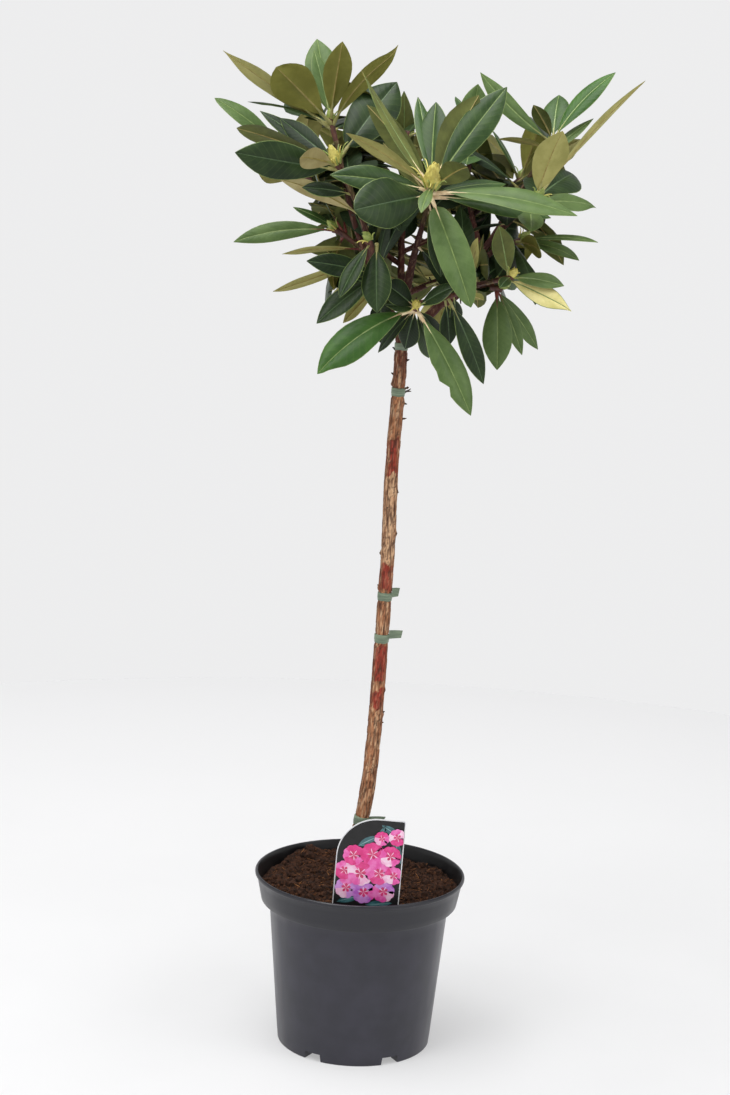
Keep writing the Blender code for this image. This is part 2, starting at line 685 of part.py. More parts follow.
def mass_corners(middle, entry, lobes):
    """Directions from a mass's middle, each with how far its leaves reach there."""
    corners = [(lobe, length) for lobe, length in lobes if lobe.angle(entry) > MASS_SEAT_CLEAR]
    fixed = [direction for direction, _ in corners]
    for direction in even_directions(MASS_DIRECTIONS):
        crowded = any(direction.angle(other) < MASS_CORNER_CLEAR for other in fixed)
        if direction.angle(entry) > MASS_SEAT_CLEAR and not crowded:
            corners.append((direction, mass_reach(middle, direction, lobes)))
    return corners


def make_masses(courses):
    chance = random.Random(SEED)
    leaf_green = material("leaf_green", (0.060, 0.160, 0.065), 0.50)
    middles = {name: Vector(middle) for name, middle, _ in MASSES}
    owned = {name: [] for name in middles}
    for tip in CROWN_TIPS:
        nearest = min(middles, key=lambda name: (middles[name] - Vector(tip)).length)
        owned[nearest].append(Vector(tip) - middles[nearest])
    ends = {mass: courses[limb][-1] for limb, _, _, mass in LIMBS}
    for name, _, grows in MASSES:
        middle = middles[name]
        entry = (ends[name] - middle).normalized()
        lobes = [(tip.normalized(), tip.length) for tip in owned[name]]
        taken = [direction for direction, _ in lobes] + [entry]
        lobes += rule_lobes(middle, Vector(grows).normalized(), taken, chance)
        obstacles = passing_limbs(name, courses)
        neighbours = [place - middle for other, place in middles.items() if other != name]
        points = seat_corners(entry)
        for direction, reach in mass_corners(middle, entry, lobes):
            for apart in neighbours:
                facing = direction.dot(apart.normalized())
                if facing > 0:
                    reach = min(reach, (apart.length / 2 - MASS_MARGIN) / facing)
            points.append((direction, limb_limit(middle, direction, reach, obstacles)))
        make_mass("mass_" + name, middle, points, leaf_green)


def make_mass(name, middle, points, finish):
    """A closed body seen whole from its middle, with a corner in each direction."""
    shape = bmesh.new()
    corners = [shape.verts.new(direction) for direction, _ in points]
    hull = bmesh.ops.convex_hull(shape, input=corners)
    loose = [v for v in hull["geom_interior"] if isinstance(v, bmesh.types.BMVert)]
    bmesh.ops.delete(shape, geom=loose, context="VERTS")
    for corner, (direction, reach) in zip(corners, points, strict=True):
        corner.co = middle + direction * reach
    bmesh.ops.recalc_face_normals(shape, faces=shape.faces)
    mesh = bpy.data.meshes.new(name)
    shape.to_mesh(mesh)
    shape.free()
    mesh.materials.append(finish)
    placed = bpy.data.objects.new(name, mesh)
    bpy.context.scene.collection.objects.link(placed)


def main():
    clear_scene()
    make_pot()
    soil = make_soil()
    trunk_course, trunk_frames = make_trunk()
    tie_green = material("tie_green", (0.140, 0.220, 0.150), 0.60)
    for number, tie in enumerate(TIES, start=1):
        make_tie(number, tie, trunk_frames, tie_green)
    make_label(soil)
    courses = plan_limbs(trunk_course)
    make_limbs(courses, trunk_frames)
    make_masses(courses)


main()
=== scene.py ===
"""Looks of the potted standard rhododendron: bark, leaves, buds, peat, pot, tie bands and label.

Metres, +Z up, origin at the middle of the pot's flat underside; the front faces -Y.
"""

import json
import random
from math import copysign, cos, dist, exp, hypot, inf, pi, radians, sin

import bmesh
import bpy
import numpy as np
from mathutils import Matrix, Vector, noise
from mathutils.bvhtree import BVHTree

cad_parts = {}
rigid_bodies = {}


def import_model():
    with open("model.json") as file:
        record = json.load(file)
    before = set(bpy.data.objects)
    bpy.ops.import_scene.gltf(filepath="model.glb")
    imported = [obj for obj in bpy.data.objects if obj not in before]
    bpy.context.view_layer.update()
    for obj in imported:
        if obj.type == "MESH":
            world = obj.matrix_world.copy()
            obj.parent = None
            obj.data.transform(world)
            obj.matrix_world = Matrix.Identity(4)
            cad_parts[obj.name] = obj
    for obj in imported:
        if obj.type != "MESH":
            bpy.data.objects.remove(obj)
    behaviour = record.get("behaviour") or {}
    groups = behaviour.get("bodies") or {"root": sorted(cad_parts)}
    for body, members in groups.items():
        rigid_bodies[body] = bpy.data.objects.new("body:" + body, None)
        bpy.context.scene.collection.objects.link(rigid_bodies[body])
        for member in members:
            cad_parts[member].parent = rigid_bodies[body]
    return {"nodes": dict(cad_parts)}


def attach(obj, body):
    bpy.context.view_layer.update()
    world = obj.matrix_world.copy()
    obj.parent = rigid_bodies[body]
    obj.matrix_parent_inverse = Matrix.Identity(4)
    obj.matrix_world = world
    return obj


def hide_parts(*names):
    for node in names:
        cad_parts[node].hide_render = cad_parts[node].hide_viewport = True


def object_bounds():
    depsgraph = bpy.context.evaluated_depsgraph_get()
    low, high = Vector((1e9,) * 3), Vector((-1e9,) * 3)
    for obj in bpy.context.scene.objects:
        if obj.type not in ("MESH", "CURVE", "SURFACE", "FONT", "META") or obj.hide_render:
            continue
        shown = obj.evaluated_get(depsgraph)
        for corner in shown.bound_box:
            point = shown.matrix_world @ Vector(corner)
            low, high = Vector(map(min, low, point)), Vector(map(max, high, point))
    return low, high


for old in list(bpy.data.objects):
    bpy.data.objects.remove(old, do_unlink=True)
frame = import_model()
cad_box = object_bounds()
NODES = frame["nodes"]
BODY = "root"
UP = Vector((0, 0, 1))
SEED = 41


def waver(x, y, z):
    """A smooth random value, from -1 to 1, at a place."""
    return noise.noise(Vector((x, y, z)))


# ------------------------------------------------------------------------ sizes

GAP = 0.0003
POT_HEIGHT = 0.188
POT_RIM_RADIUS = 0.1125
POT_FOOT_RADIUS = 0.0822
POT_WALL = 0.0020
POT_COLLAR_HEIGHT = 0.032
POT_COLLAR_FOOT = POT_HEIGHT - POT_COLLAR_HEIGHT
POT_COLLAR_FOOT_RADIUS = 0.1048
POT_SHOULDER_RADIUS = 0.0962
POT_LIP_HEIGHT = 0.0045
POT_LIP_DEPTH = 0.0017
POT_FLOOR_RISE = 0.0040
POT_FOOT_DISC_RADIUS = 0.0180
POT_FOOT_RING_WIDTH = 0.0140
POT_EDGE = 0.0012
NOTCH_COUNT = 6
NOTCH_WIDTH = 0.0215
NOTCH_HEIGHT = 0.0085
NOTCH_SLOPE = 0.0015
NOTCH_FIRST_BEARING = radians(-121)

SOIL_LEVEL = 0.1740
SOIL_HEAP = 0.0105
SOIL_HEAP_PLACE = (-0.058, 0.086)
SOIL_HEAP_WIDTH = 0.030
SOIL_FOOT = POT_COLLAR_FOOT + 0.005
SOIL_RINGS = 62
SOIL_SIDES = 150

TRUNK_COURSE = (
    (-0.0120, 0.000, SOIL_LEVEL + GAP),
    (-0.0075, 0.000, 0.210),
    (0.0020, -0.001, 0.263),
    (0.0075, -0.002, 0.321),
    (0.0112, -0.002, 0.413),
    (0.0147, 0.000, 0.535),
    (0.0150, 0.002, 0.625),
    (0.0185, 0.001, 0.715),
    (0.0198, 0.000, 0.773),
)
TRUNK_FOOT_RADIUS = 0.0082
TRUNK_TOP_RADIUS = 0.0066
TRUNK_FLARE = 0.0050
TRUNK_FLARE_HEIGHT = 0.016

# height, band height, length and height of the free end
TIES = (
    (0.2450, 0.0100, 0.0160, 0.004),
    (0.4455, 0.0090, 0.0130, 0.009),
    (0.4905, 0.0085, 0.0068, 0.010),
    (0.7060, 0.0085, 0.0000, 0.000),
    (0.7530, 0.0075, 0.0000, 0.000),
)

LABEL_WIDTH = 0.0690
LABEL_TOP = 0.2735
LABEL_FOOT = 0.1770
LABEL_THICKNESS = 0.0010
LABEL_MIDDLE = (0.0065, -0.0840)
LABEL_LEAN = radians(2.5)
LABEL_SHOULDER = 0.0420
LABEL_STEM_WIDTH = 0.0200
LABEL_STEM_DEPTH = 0.0350
LABEL_CORNER = 0.0025

# name, middle of its whorl of leaves, direction in which its shoot grows
MASSES = (
    ("top_left", (-0.062, 0.010, 0.977), (-0.25, 0.00, 1.00)),
    ("left_front", (-0.052, -0.060, 0.935), (-0.60, -0.45, 0.75)),
    ("front", (0.0405, -0.085, 0.916), (0.15, -0.75, 0.70)),
    ("top_right", (0.1645, 0.030, 0.966), (0.40, 0.10, 0.90)),
    ("right", (0.145, -0.045, 0.9083), (0.70, -0.35, 0.60)),
    ("right_low", (0.1340, 0.010, 0.8650), (0.95, 0.10, 0.20)),
    ("right_front", (0.1222, -0.060, 0.8321), (0.70, -0.60, 0.25)),
    ("right_hanging", (0.1156, 0.030, 0.8152), (0.75, 0.20, -0.25)),
    ("front_low", (0.0313, -0.075, 0.7989), (0.00, -0.95, 0.05)),
    ("left_low", (-0.0200, -0.080, 0.8470), (-0.55, -0.70, 0.15)),
    ("left", (-0.0504, 0.020, 0.8672), (-0.95, 0.05, 0.20)),
    ("top", (0.0160, 0.060, 0.9650), (0.00, 0.25, 1.00)),
    ("top_middle", (0.0822, 0.055, 0.9543), (0.25, 0.10, 1.00)),
    ("back_left", (-0.0945, 0.090, 0.9258), (-0.65, 0.55, 0.55)),
    ("back_right", (0.1387, 0.115, 0.9246), (0.55, 0.65, 0.55)),
    ("back", (0.0120, 0.130, 0.9082), (-0.05, 0.90, 0.55)),
    ("back_low", (0.0700, 0.115, 0.8200), (0.35, 0.90, 0.05)),
    ("back_left_low", (-0.0400, 0.085, 0.8150), (-0.60, 0.75, 0.00)),
)

# name, the limb it grows from, how far along it, the mass it carries
LIMBS = (
    ("bough_front", "trunk", 1.000, "front"),
    ("bough_left", "trunk", 0.985, "left_front"),
    ("bough_right", "trunk", 0.972, "top_right"),
    ("bough_back", "trunk", 0.990, "back"),
    ("bough_front_low", "bough_front", 0.160, "front_low"),
    ("bough_top_left", "bough_left", 0.450, "top_left"),
    ("bough_left_low", "bough_left", 0.300, "left_low"),
    ("bough_side_left", "bough_left", 0.220, "left"),
    ("bough_top", "bough_back", 0.420, "top"),
    ("bough_top_middle", "bough_right", 0.520, "top_middle"),
    ("bough_side_right", "bough_right", 0.640, "right"),
    ("bough_right_low", "bough_right", 0.440, "right_low"),
    ("bough_right_front", "bough_right", 0.300, "right_front"),
    ("bough_right_hanging", "bough_right", 0.200, "right_hanging"),
    ("bough_back_left", "bough_back", 0.520, "back_left"),
    ("bough_back_right", "bough_back", 0.620, "back_right"),
    ("bough_back_low", "bough_back", 0.280, "back_low"),
    ("bough_back_left_low", "bough_back", 0.200, "back_left_low"),
)
LIMB_TIP_RADIUS = 0.0023
LIMB_FOOT_SHARE = 0.82
LIMB_BULGE = 0.42
LIMB_SPREAD = 0.35
LIMB_TURN = 0.80
LIMB_POINTS = 10
SEAT_RADIUS = 0.0200          # a bough ends this far below the middle of its whorl

# ----------------------------------------------------------------------- camera

CAMERA_PLACE = Vector((-0.0093, -2.3506, 0.9825))
CAMERA_DIP = 0.1855           # radians below level
CAMERA_ROLL = 0.0423
CAMERA_LENS = 75.19
SENSOR = 36.0
CAMERA_AHEAD = Vector((0, cos(CAMERA_DIP), -sin(CAMERA_DIP)))
CAMERA_UPRIGHT = Vector((0, sin(CAMERA_DIP), cos(CAMERA_DIP)))


def add_camera():
    data = bpy.data.cameras.new("camera")
    data.lens = CAMERA_LENS
    data.sensor_width = SENSOR
    data.clip_start = 0.05
    camera = bpy.data.objects.new("camera", data)
    bpy.context.scene.collection.objects.link(camera)
    level_right = Vector((1, 0, 0))
    right = level_right * cos(CAMERA_ROLL) + CAMERA_UPRIGHT * sin(CAMERA_ROLL)
    above = CAMERA_UPRIGHT * cos(CAMERA_ROLL) - level_right * sin(CAMERA_ROLL)
    turn = Matrix((right, above, -CAMERA_AHEAD)).transposed().to_4x4()
    camera.matrix_world = Matrix.Translation(CAMERA_PLACE) @ turn
    bpy.context.scene.camera = camera


add_camera()

# --------------------------------------------------------------------- finishes


def tone(red, green, blue):
    """A screen colour, 0 to 255, as linear red, green and blue."""
    return tuple(c / 255 / 12.92 if c <= 10 else ((c / 255 + 0.055) / 1.055) ** 2.4
                 for c in (red, green, blue))


def fill(tree, node, sockets):
    """Gives a node's sockets their values, or links them."""
    for key, value in sockets.items():
        socket = node.inputs[key]
        if isinstance(value, bpy.types.NodeSocket):
            tree.links.new(value, socket)
        elif socket.type == "RGBA":
            socket.default_value = (*value, 1.0)
        else:
            socket.default_value = value


def add_node(tree, kind, sockets=None, **settings):
    made = tree.nodes.new(kind)
    for key, value in settings.items():
        setattr(made, key, value)
    fill(tree, made, sockets or {})
    return made


class Finish:
    """A material and the few node recipes that the finishes share."""

    def __init__(self, name, roughness):
        self.material = bpy.data.materials.new(name)
        self.material.use_nodes = True
        self.tree = self.material.node_tree
        self.shader = self.tree.nodes["Principled BSDF"]
        self.relief = None
        self.place = self.node("ShaderNodeTexCoord").outputs["Object"]
        self.set({"Roughness": roughness})

    def node(self, kind, sockets=None, **settings):
        return add_node(self.tree, kind, sockets, **settings)

    def set(self, sockets):
        fill(self.tree, self.shader, sockets)

    def math(self, operation, *values):
        return self.node("ShaderNodeMath", dict(enumerate(values)), operation=operation).outputs[0]

    def noise(self, scale, detail=3.0, rough=0.5, stretch=None, warp=0.0):
        place = self.place
        if stretch:
            place = self.node("ShaderNodeMapping", {"Vector": place, "Scale": stretch}).outputs["Vector"]
        return self.node("ShaderNodeTexNoise", {"Vector": place, "Scale": scale, "Detail": detail,
                                                "Roughness": rough, "Distortion": warp}).outputs["Fac"]

    def step(self, value, low, high, out_low=0.0, out_high=1.0):
        return self.node("ShaderNodeMapRange", {"Value": value, "From Min": low, "From Max": high,
                                                "To Min": out_low, "To Max": out_high},
                         interpolation_type="SMOOTHSTEP").outputs["Result"]

    def mix(self, share, first, second):
        return self.node("ShaderNodeMix", {0: share, 6: first, 7: second}, data_type="RGBA").outputs[2]

    def mottle(self, streak, low, high, first, second):
        """A base colour that runs from the first tone to the second with a noise."""
        self.set({"Base Color": self.mix(self.step(streak, low, high), first, second)})

    def bump(self, height, distance, strength=1.0):
        sockets = {"Height": height, "Distance": distance, "Strength": strength}
        if self.relief:
            sockets["Normal"] = self.relief
        self.relief = self.node("ShaderNodeBump", sockets).outputs["Normal"]
        self.set({"Normal": self.relief})


def moulded_plastic():
    """Recycled charcoal plastic: satin, mottled, finely scuffed, darker from just under the collar up, with
    painted shade making the inner wall above the peat near black.
    """
    made = Finish("charcoal_plastic", 0.42)
    grey = made.mix(made.step(made.noise(38.0, detail=4.0), 0.30, 0.72), tone(43, 43, 52), tone(50, 49, 60))
    dust = made.step(made.noise(9.0, detail=6.0, rough=0.7), 0.52, 0.80)
    dusty = made.mix(made.math("MULTIPLY", dust, 0.10), grey, tone(96, 96, 104))
    parts = made.node("ShaderNodeSeparateXYZ", {0: made.place}).outputs
    height = parts[2]
    below_collar = made.step(height, POT_COLLAR_FOOT - 0.004, POT_COLLAR_FOOT + 0.002)
    banded = made.mix(below_collar, dusty, tone(35, 35, 42))
    level = made.node("ShaderNodeCombineXYZ", {0: parts[0], 1: parts[1]}).outputs[0]
    away = made.node("ShaderNodeVectorMath", {0: level}, operation="LENGTH").outputs["Value"]
    splay = (POT_RIM_RADIUS - POT_EDGE - POT_COLLAR_FOOT_RADIUS) / POT_COLLAR_HEIGHT
    upright = made.math("SUBTRACT", away, made.math("MULTIPLY", height, splay))
    wall = POT_COLLAR_FOOT_RADIUS - splay * POT_COLLAR_FOOT
    inside = made.step(upright, wall - 0.0017, wall - 0.0013, 1.0, 0.0)
    # painted shade: the inner wall above the peat is painted near black, as the shade inside the rim
    inner_wall_painted_shade = made.math("MULTIPLY", inside, made.step(height, SOIL_LEVEL - 0.010, SOIL_LEVEL - 0.008))
    scuffs = made.noise(60.0, detail=5.0, stretch=(1, 1, 0.25))
    made.set({"Base Color": made.mix(inner_wall_painted_shade, banded, tone(14, 14, 16)), "IOR": 1.48,
              "Roughness": made.step(scuffs, 0.25, 0.8, 0.30, 0.42)})
    made.bump(made.noise(900.0, detail=2.0), 0.00005, 0.5)
    made.bump(made.noise(22.0, detail=2.0), 0.0006, 0.18)
    return made.material


def peat(name, dark, light, scale):
    """Damp fibrous peat."""
    made = Finish(name, 0.95)
    made.mottle(made.noise(scale, detail=6.0, rough=0.7), 0.34, 0.68, dark, light)
    made.bump(made.noise(scale * 2.2, detail=5.0, rough=0.7), 0.0010, 0.8)
    made.set({"Specular IOR Level": 0.25})
    return made.material


def bark(name):
    """Flaking bark, in the tones that the mesh carries, broken up by fine upright fibres."""
    made = Finish(name, 0.78)
    carried = made.node("ShaderNodeAttribute", attribute_name="bark_tone").outputs["Color"]
    fibre = made.noise(520.0, detail=5.0, rough=0.65, stretch=(1, 1, 0.22), warp=0.3)
    shaded = made.mix(made.step(fibre, 0.30, 0.62, 0.55, 0.0), carried, tone(70, 34, 20))
    lit = made.mix(made.step(fibre, 0.58, 0.80, 0.0, 0.45), shaded, tone(226, 180, 136))
    made.set({"Base Color": lit, "Roughness": made.step(fibre, 0.3, 0.7, 0.88, 0.62),
              "Specular IOR Level": 0.35})
    made.bump(fibre, 0.0007, 0.85)
    made.bump(made.noise(1500.0, detail=3.0), 0.00025, 0.6)
    return made.material


def young_bark(name, dark, light, roughness):
    made = Finish(name, roughness)
    streak = made.noise(260.0, detail=5.0, rough=0.6, stretch=(1, 1, 0.5))
    made.mottle(streak, 0.35, 0.66, dark, light)
    made.bump(streak, 0.0005, 0.6)
    return made.material


def leaf_skin(name, colour, deep, roughness, vein=0.05, sheen=0.25, grain=0.4):
    """Leathery leaf skin: mottled, with side veins that slope from the midrib to the edge."""
    made = Finish(name, roughness)
    mottle = made.noise(46.0, detail=4.0, rough=0.6)
    skin = made.mix(made.step(mottle, 0.32, 0.70), deep, colour)
    places = made.node("ShaderNodeUVMap", uv_map="blade").outputs[0]
    blade = made.node("ShaderNodeSeparateXYZ", {0: places}).outputs
    across = made.math("ABSOLUTE", made.math("SUBTRACT", made.math("MULTIPLY", blade[0], 2.0), 1.0))
    slope = made.math("SUBTRACT", made.math("MULTIPLY", blade[1], 13.0), made.math("MULTIPLY", across, 1.9))
    ripple = made.math("PINGPONG", slope, 0.5)
    line = made.math("MULTIPLY", made.step(ripple, 0.0, 0.14, 1.0, 0.0), vein)
    made.set({"Base Color": made.mix(line, skin, tone(132, 150, 92)), "Specular IOR Level": sheen,
              "Roughness": made.step(mottle, 0.3, 0.75, roughness - 0.05, roughness + 0.08)})
    made.bump(made.step(ripple, 0.0, 0.5), 0.0005, 0.15)
    made.bump(made.noise(420.0, detail=3.0), 0.00012, grain)
    return made.material


def soft_stalk(name, colour, deep, roughness=0.5):
    made = Finish(name, roughness)
    streak = made.noise(190.0, detail=3.0)
    made.mottle(streak, 0.35, 0.68, deep, colour)
    made.bump(streak, 0.0002, 0.4)
    return made.material


def tape():
    """Grey green binding tape, slightly stretched, with a fine lengthwise grain."""
    made = Finish("tie_green", 0.52)
    grain = made.noise(160.0, detail=3.0, stretch=(0.35, 0.35, 5.0))
    made.mottle(grain, 0.3, 0.72, tone(94, 110, 90), tone(127, 142, 118))
    made.bump(grain, 0.0003, 0.5)
    return made.material


def print_ink(name, first, second, roughness=0.28, coat=0.4):
    made = Finish(name, roughness)
    made.mottle(made.noise(150.0, detail=4.0, rough=0.6), 0.35, 0.68, first, second)
    made.set({"Coat Weight": coat, "Coat Roughness": 0.12})
    return made.material


def studio_floor():
    """A near white floor that fades to the tone of the studio round it."""
    made = Finish("pale_floor", 0.85)
    near = made.mix(made.step(made.noise(3.0, detail=3.0), 0.3, 0.7), FLOOR_NEAR, FLOOR_NEAR_LIGHT)
    away = made.node("ShaderNodeVectorMath", {0: made.place}, operation="LENGTH").outputs["Value"]
    made.set({"Base Color": made.mix(made.step(away, FLOOR_FADE_START, FLOOR_RADIUS * 0.97), near, FLOOR_FAR),
              "Specular IOR Level": 0.1, "Emission Color": (1.0, 1.0, 1.0), "Emission Strength": FLOOR_GLOW})
    return made.material


PLASTIC = moulded_plastic()
SOIL_FINE = peat("peat", tone(22, 13, 9), tone(74, 46, 31), 260.0)
SOIL_CRUMB = peat("peat_crumb", tone(26, 15, 10), tone(94, 60, 40), 300.0)
SOIL_FIBRE = peat("peat_fibre", tone(92, 56, 30), tone(160, 108, 64), 300.0)
BARK = bark("flaking_bark")
BOUGH_BARK = bark("bough_bark")
TWIG_RED = young_bark("young_bark_red", tone(66, 32, 28), tone(102, 62, 46), 0.6)
TWIG_DARK = young_bark("dead_spur", tone(34, 26, 20), tone(84, 62, 44), 0.8)
TAPE = tape()

FLOOR_RADIUS = 1.6
FLOOR_FADE_START = 0.25
FLOOR_GLOW = 0.40              # keeps the shadow on the floor faint
FLOOR_NEAR = tone(179, 179, 180)
FLOOR_NEAR_LIGHT = tone(183, 183, 184)
FLOOR_FAR = tone(186, 186, 187)
STUDIO_TONE = (0.850, 0.850, 0.855)
STUDIO_ABOVE = 0.34
STUDIO_LEVEL = 0.14            # sine of the angle up to which it is pale, and of that where it is dimmest
STUDIO_HIGH = 0.50

# ---------------------------------------------------------------- mesh building


def linked(name, mesh):
    placed = bpy.data.objects.new(name, mesh)
    bpy.context.scene.collection.objects.link(placed)
    return placed


def finished(name, mesh, *materials, smooth=True, angle=None):
    for material in materials:
        mesh.materials.append(material)
    if smooth:
        mesh.shade_smooth()
    if angle:
        mesh.set_sharp_from_angle(angle=radians(angle))
    return linked(name, mesh)


def hand_over(placed, slot, *nodes):
    """Ties a finished piece to the plant's one body and hides the nodes that it stands for; slot is not used.
    """
    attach(placed, BODY)
    if nodes:
        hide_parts(*nodes)


def new_mesh(name, vertices, faces):
    made = bpy.data.meshes.new(name)
    made.from_pydata([tuple(v) for v in vertices], [], faces)
    return made


def evaluated(carrier):
    """The mesh that an object's modifiers make; the object itself goes."""
    bpy.context.view_layer.update()
    made = bpy.data.meshes.new_from_object(carrier.evaluated_get(bpy.context.evaluated_depsgraph_get()))
    bpy.data.objects.remove(carrier)
    return made


class Gathered:
    """Vertices, faces, the finish of each face and a blade place for each vertex, joined as one mesh."""

    def __init__(self):
        self.vertices, self.faces, self.finishes, self.places, self.tones = [], [], [], [], []

    def add(self, vertices, faces, finishes, places=None, tones=()):
        base = len(self.vertices)
        self.vertices.extend(tuple(v) for v in vertices)
        self.faces.extend(tuple(base + c for c in face) for face in faces)
        self.finishes.extend([finishes] * len(faces) if isinstance(finishes, int) else finishes)
        self.places.extend(places or [(0.5, 0.5)] * len(vertices))
        self.tones.extend(tones)

    def add_tube(self, course, radius_at, sides, finish):
        """A tapering stem along a course, closed at both ends."""
        rings = []
        for i, (here, across, upright, _) in enumerate(course_frames(course)):
            radius = radius_at(i / (len(course) - 1))
            rings.append(ring_at(here, across, upright, radius, sides))
        self.add(*capped(rings), finish)

    def mesh(self, name, outward=False):
        made = bpy.data.meshes.new(name)
        made.from_pydata(self.vertices, [], self.faces)
        made.polygons.foreach_set("material_index", self.finishes)
        layer = made.uv_layers.new(name="blade")
        corners = np.empty(len(made.loops), np.int32)
        made.loops.foreach_get("vertex_index", corners)
        layer.uv.foreach_set("vector", np.array(self.places, np.float32)[corners].ravel())
        if self.tones:
            carried = made.color_attributes.new("bark_tone", "FLOAT_COLOR", "POINT")
            flat = np.ones((len(self.vertices), 4), np.float32)
            flat[:, :3] = self.tones
            carried.data.foreach_set("color", flat.ravel())
        made.validate()
        if outward:
            shape = bmesh.new()
            shape.from_mesh(made)
            bmesh.ops.recalc_face_normals(shape, faces=shape.faces)
            shape.to_mesh(made)
            shape.free()
        return made


def skin_faces(ring_count, sides):
    """The faces between rings of points, one after another."""
    faces = []
    for a in range(0, (ring_count - 1) * sides, sides):
        for s in range(sides):
            t = (s + 1) % sides
            faces.append((a + s, a + t, a + sides + t, a + sides + s))
    return faces


def capped(rings):
    """A tube of equal rings, closed by a point in the middle of each end."""
    sides = len(rings[0])
    vertices = [p for ring in rings for p in ring]
    vertices += [sum(ring, Vector()) / sides for ring in (rings[0], rings[-1])]
    faces = skin_faces(len(rings), sides)
    end = (len(rings) - 1) * sides
    for s in range(sides):
        t = (s + 1) % sides
        faces += [(t, s, len(vertices) - 2), (end + s, end + t, len(vertices) - 1)]
    return vertices, faces


def smooth_course(points, count):
    knots = [Vector(p) for p in points]
    knots = [2 * knots[0] - knots[1], *knots, 2 * knots[-1] - knots[-2]]
    spans = len(knots) - 3
    course = []
    for i in range(count):
        at = i / (count - 1) * spans
        k = min(int(at), spans - 1)
        t = at - k
        p0, p1, p2, p3 = knots[k:k + 4]
        course.append(0.5 * (2 * p1 + (p2 - p0) * t + (2 * p0 - 5 * p1 + 4 * p2 - p3) * t * t
                             + (3 * p1 - p0 - 3 * p2 + p3) * t ** 3))
    return course


def bezier_course(start, start_pull, end_pull, end, count):
    course = []
    for i in range(count):
        t = i / (count - 1)
        s = 1 - t
        course.append(start * s ** 3 + start_pull * 3 * s * s * t + end_pull * 3 * s * t * t + end * t ** 3)
    return course


def course_frames(course, first_up=None):
    """Place, across, upright and ahead at each point of a course, without twist."""
    frames = []
    side = Vector((1, 0, 0))
    for i, here in enumerate(course):
        ahead = course[min(i + 1, len(course) - 1)] - course[max(i - 1, 0)]
        if first_up and i == 0:
            ahead = first_up
        ahead = ahead.normalized()
        side = (side - ahead * side.dot(ahead)).normalized()
        frames.append((here, side.copy(), ahead.cross(side), ahead))
    return frames


def spoke(across, upright, bearing):
    return across * cos(bearing) + upright * sin(bearing)


def bearings(sides):
    return [2 * pi * s / sides for s in range(sides)]


def ring_at(here, across, upright, radius, sides):
    return [here + spoke(across, upright, bearing) * radius for bearing in bearings(sides)]


# --------------------------------------------------------------------------- pot

POT_SIDES = 156


def wall_radius(height):
    return POT_FOOT_RADIUS + (POT_SHOULDER_RADIUS - POT_FOOT_RADIUS) * height / POT_COLLAR_FOOT


def collar_radius(height):
    rise = (height - POT_COLLAR_FOOT) / POT_COLLAR_HEIGHT
    return POT_COLLAR_FOOT_RADIUS + (POT_RIM_RADIUS - POT_EDGE - POT_COLLAR_FOOT_RADIUS) * rise


def inner_radius(height):
    if height < POT_COLLAR_FOOT:
        return wall_radius(height) - POT_WALL
    step = min(1.0, (height - POT_COLLAR_FOOT) / (2 * POT_WALL))
    below = wall_radius(POT_COLLAR_FOOT) - POT_WALL
    return below + (collar_radius(height) - POT_WALL - below) * step


def pot_profile():
    """Radius and height round the pot's wall, from the middle of its underside to that of its inside."""
    ring_inside = POT_FOOT_RADIUS - POT_FOOT_RING_WIDTH
    lip_foot = POT_HEIGHT - POT_LIP_HEIGHT
    profile = [(POT_FOOT_DISC_RADIUS, 0.0), (POT_FOOT_DISC_RADIUS + 0.003, POT_FLOOR_RISE),
               (ring_inside - 0.003, POT_FLOOR_RISE), (ring_inside, 0.0), (POT_FOOT_RADIUS - POT_EDGE, 0.0)]
    for turn in (n / 3 * pi / 2 for n in range(1, 4)):
        profile.append((POT_FOOT_RADIUS - POT_EDGE * (1 - sin(turn)), POT_EDGE * (1 - cos(turn))))

    def rise(low, span, steps, radius_at):
        for n in range(1, steps + 1):
            height = low + span * n / steps
            profile.append((radius_at(height), height))

    rise(POT_EDGE, POT_COLLAR_FOOT - 0.0016 - POT_EDGE, 14, wall_radius)
    profile.extend([(wall_radius(POT_COLLAR_FOOT) + 0.0008, POT_COLLAR_FOOT - 0.0003),
                    (POT_COLLAR_FOOT_RADIUS - 0.0022, POT_COLLAR_FOOT),
                    (POT_COLLAR_FOOT_RADIUS - 0.0006, POT_COLLAR_FOOT + 0.0004),
                    (collar_radius(POT_COLLAR_FOOT + 0.0016), POT_COLLAR_FOOT + 0.0016)])
    rise(POT_COLLAR_FOOT + 0.0016, lip_foot - 0.0006 - POT_COLLAR_FOOT - 0.0016, 4, collar_radius)
    half = POT_LIP_HEIGHT / 2
    for turn in (pi * (n / 8 - 0.5) for n in range(9)):
        profile.append((POT_RIM_RADIUS - POT_LIP_DEPTH + POT_LIP_DEPTH * cos(turn),
                        lip_foot + half + half * sin(turn)))
    profile.extend([(POT_RIM_RADIUS - 0.0026, POT_HEIGHT - 0.0002),
                    (POT_RIM_RADIUS - 0.0032, POT_HEIGHT - 0.0012),
                    (inner_radius(lip_foot), lip_foot - 0.0008)])
    rise(lip_foot - 0.0008, POT_COLLAR_FOOT + 0.004 - lip_foot + 0.0008, 4, inner_radius)
    return profile + [(inner_radius(POT_COLLAR_FOOT), POT_COLLAR_FOOT), (inner_radius(0.02), 0.02),
                      (inner_radius(0.006), POT_FLOOR_RISE + POT_WALL)]


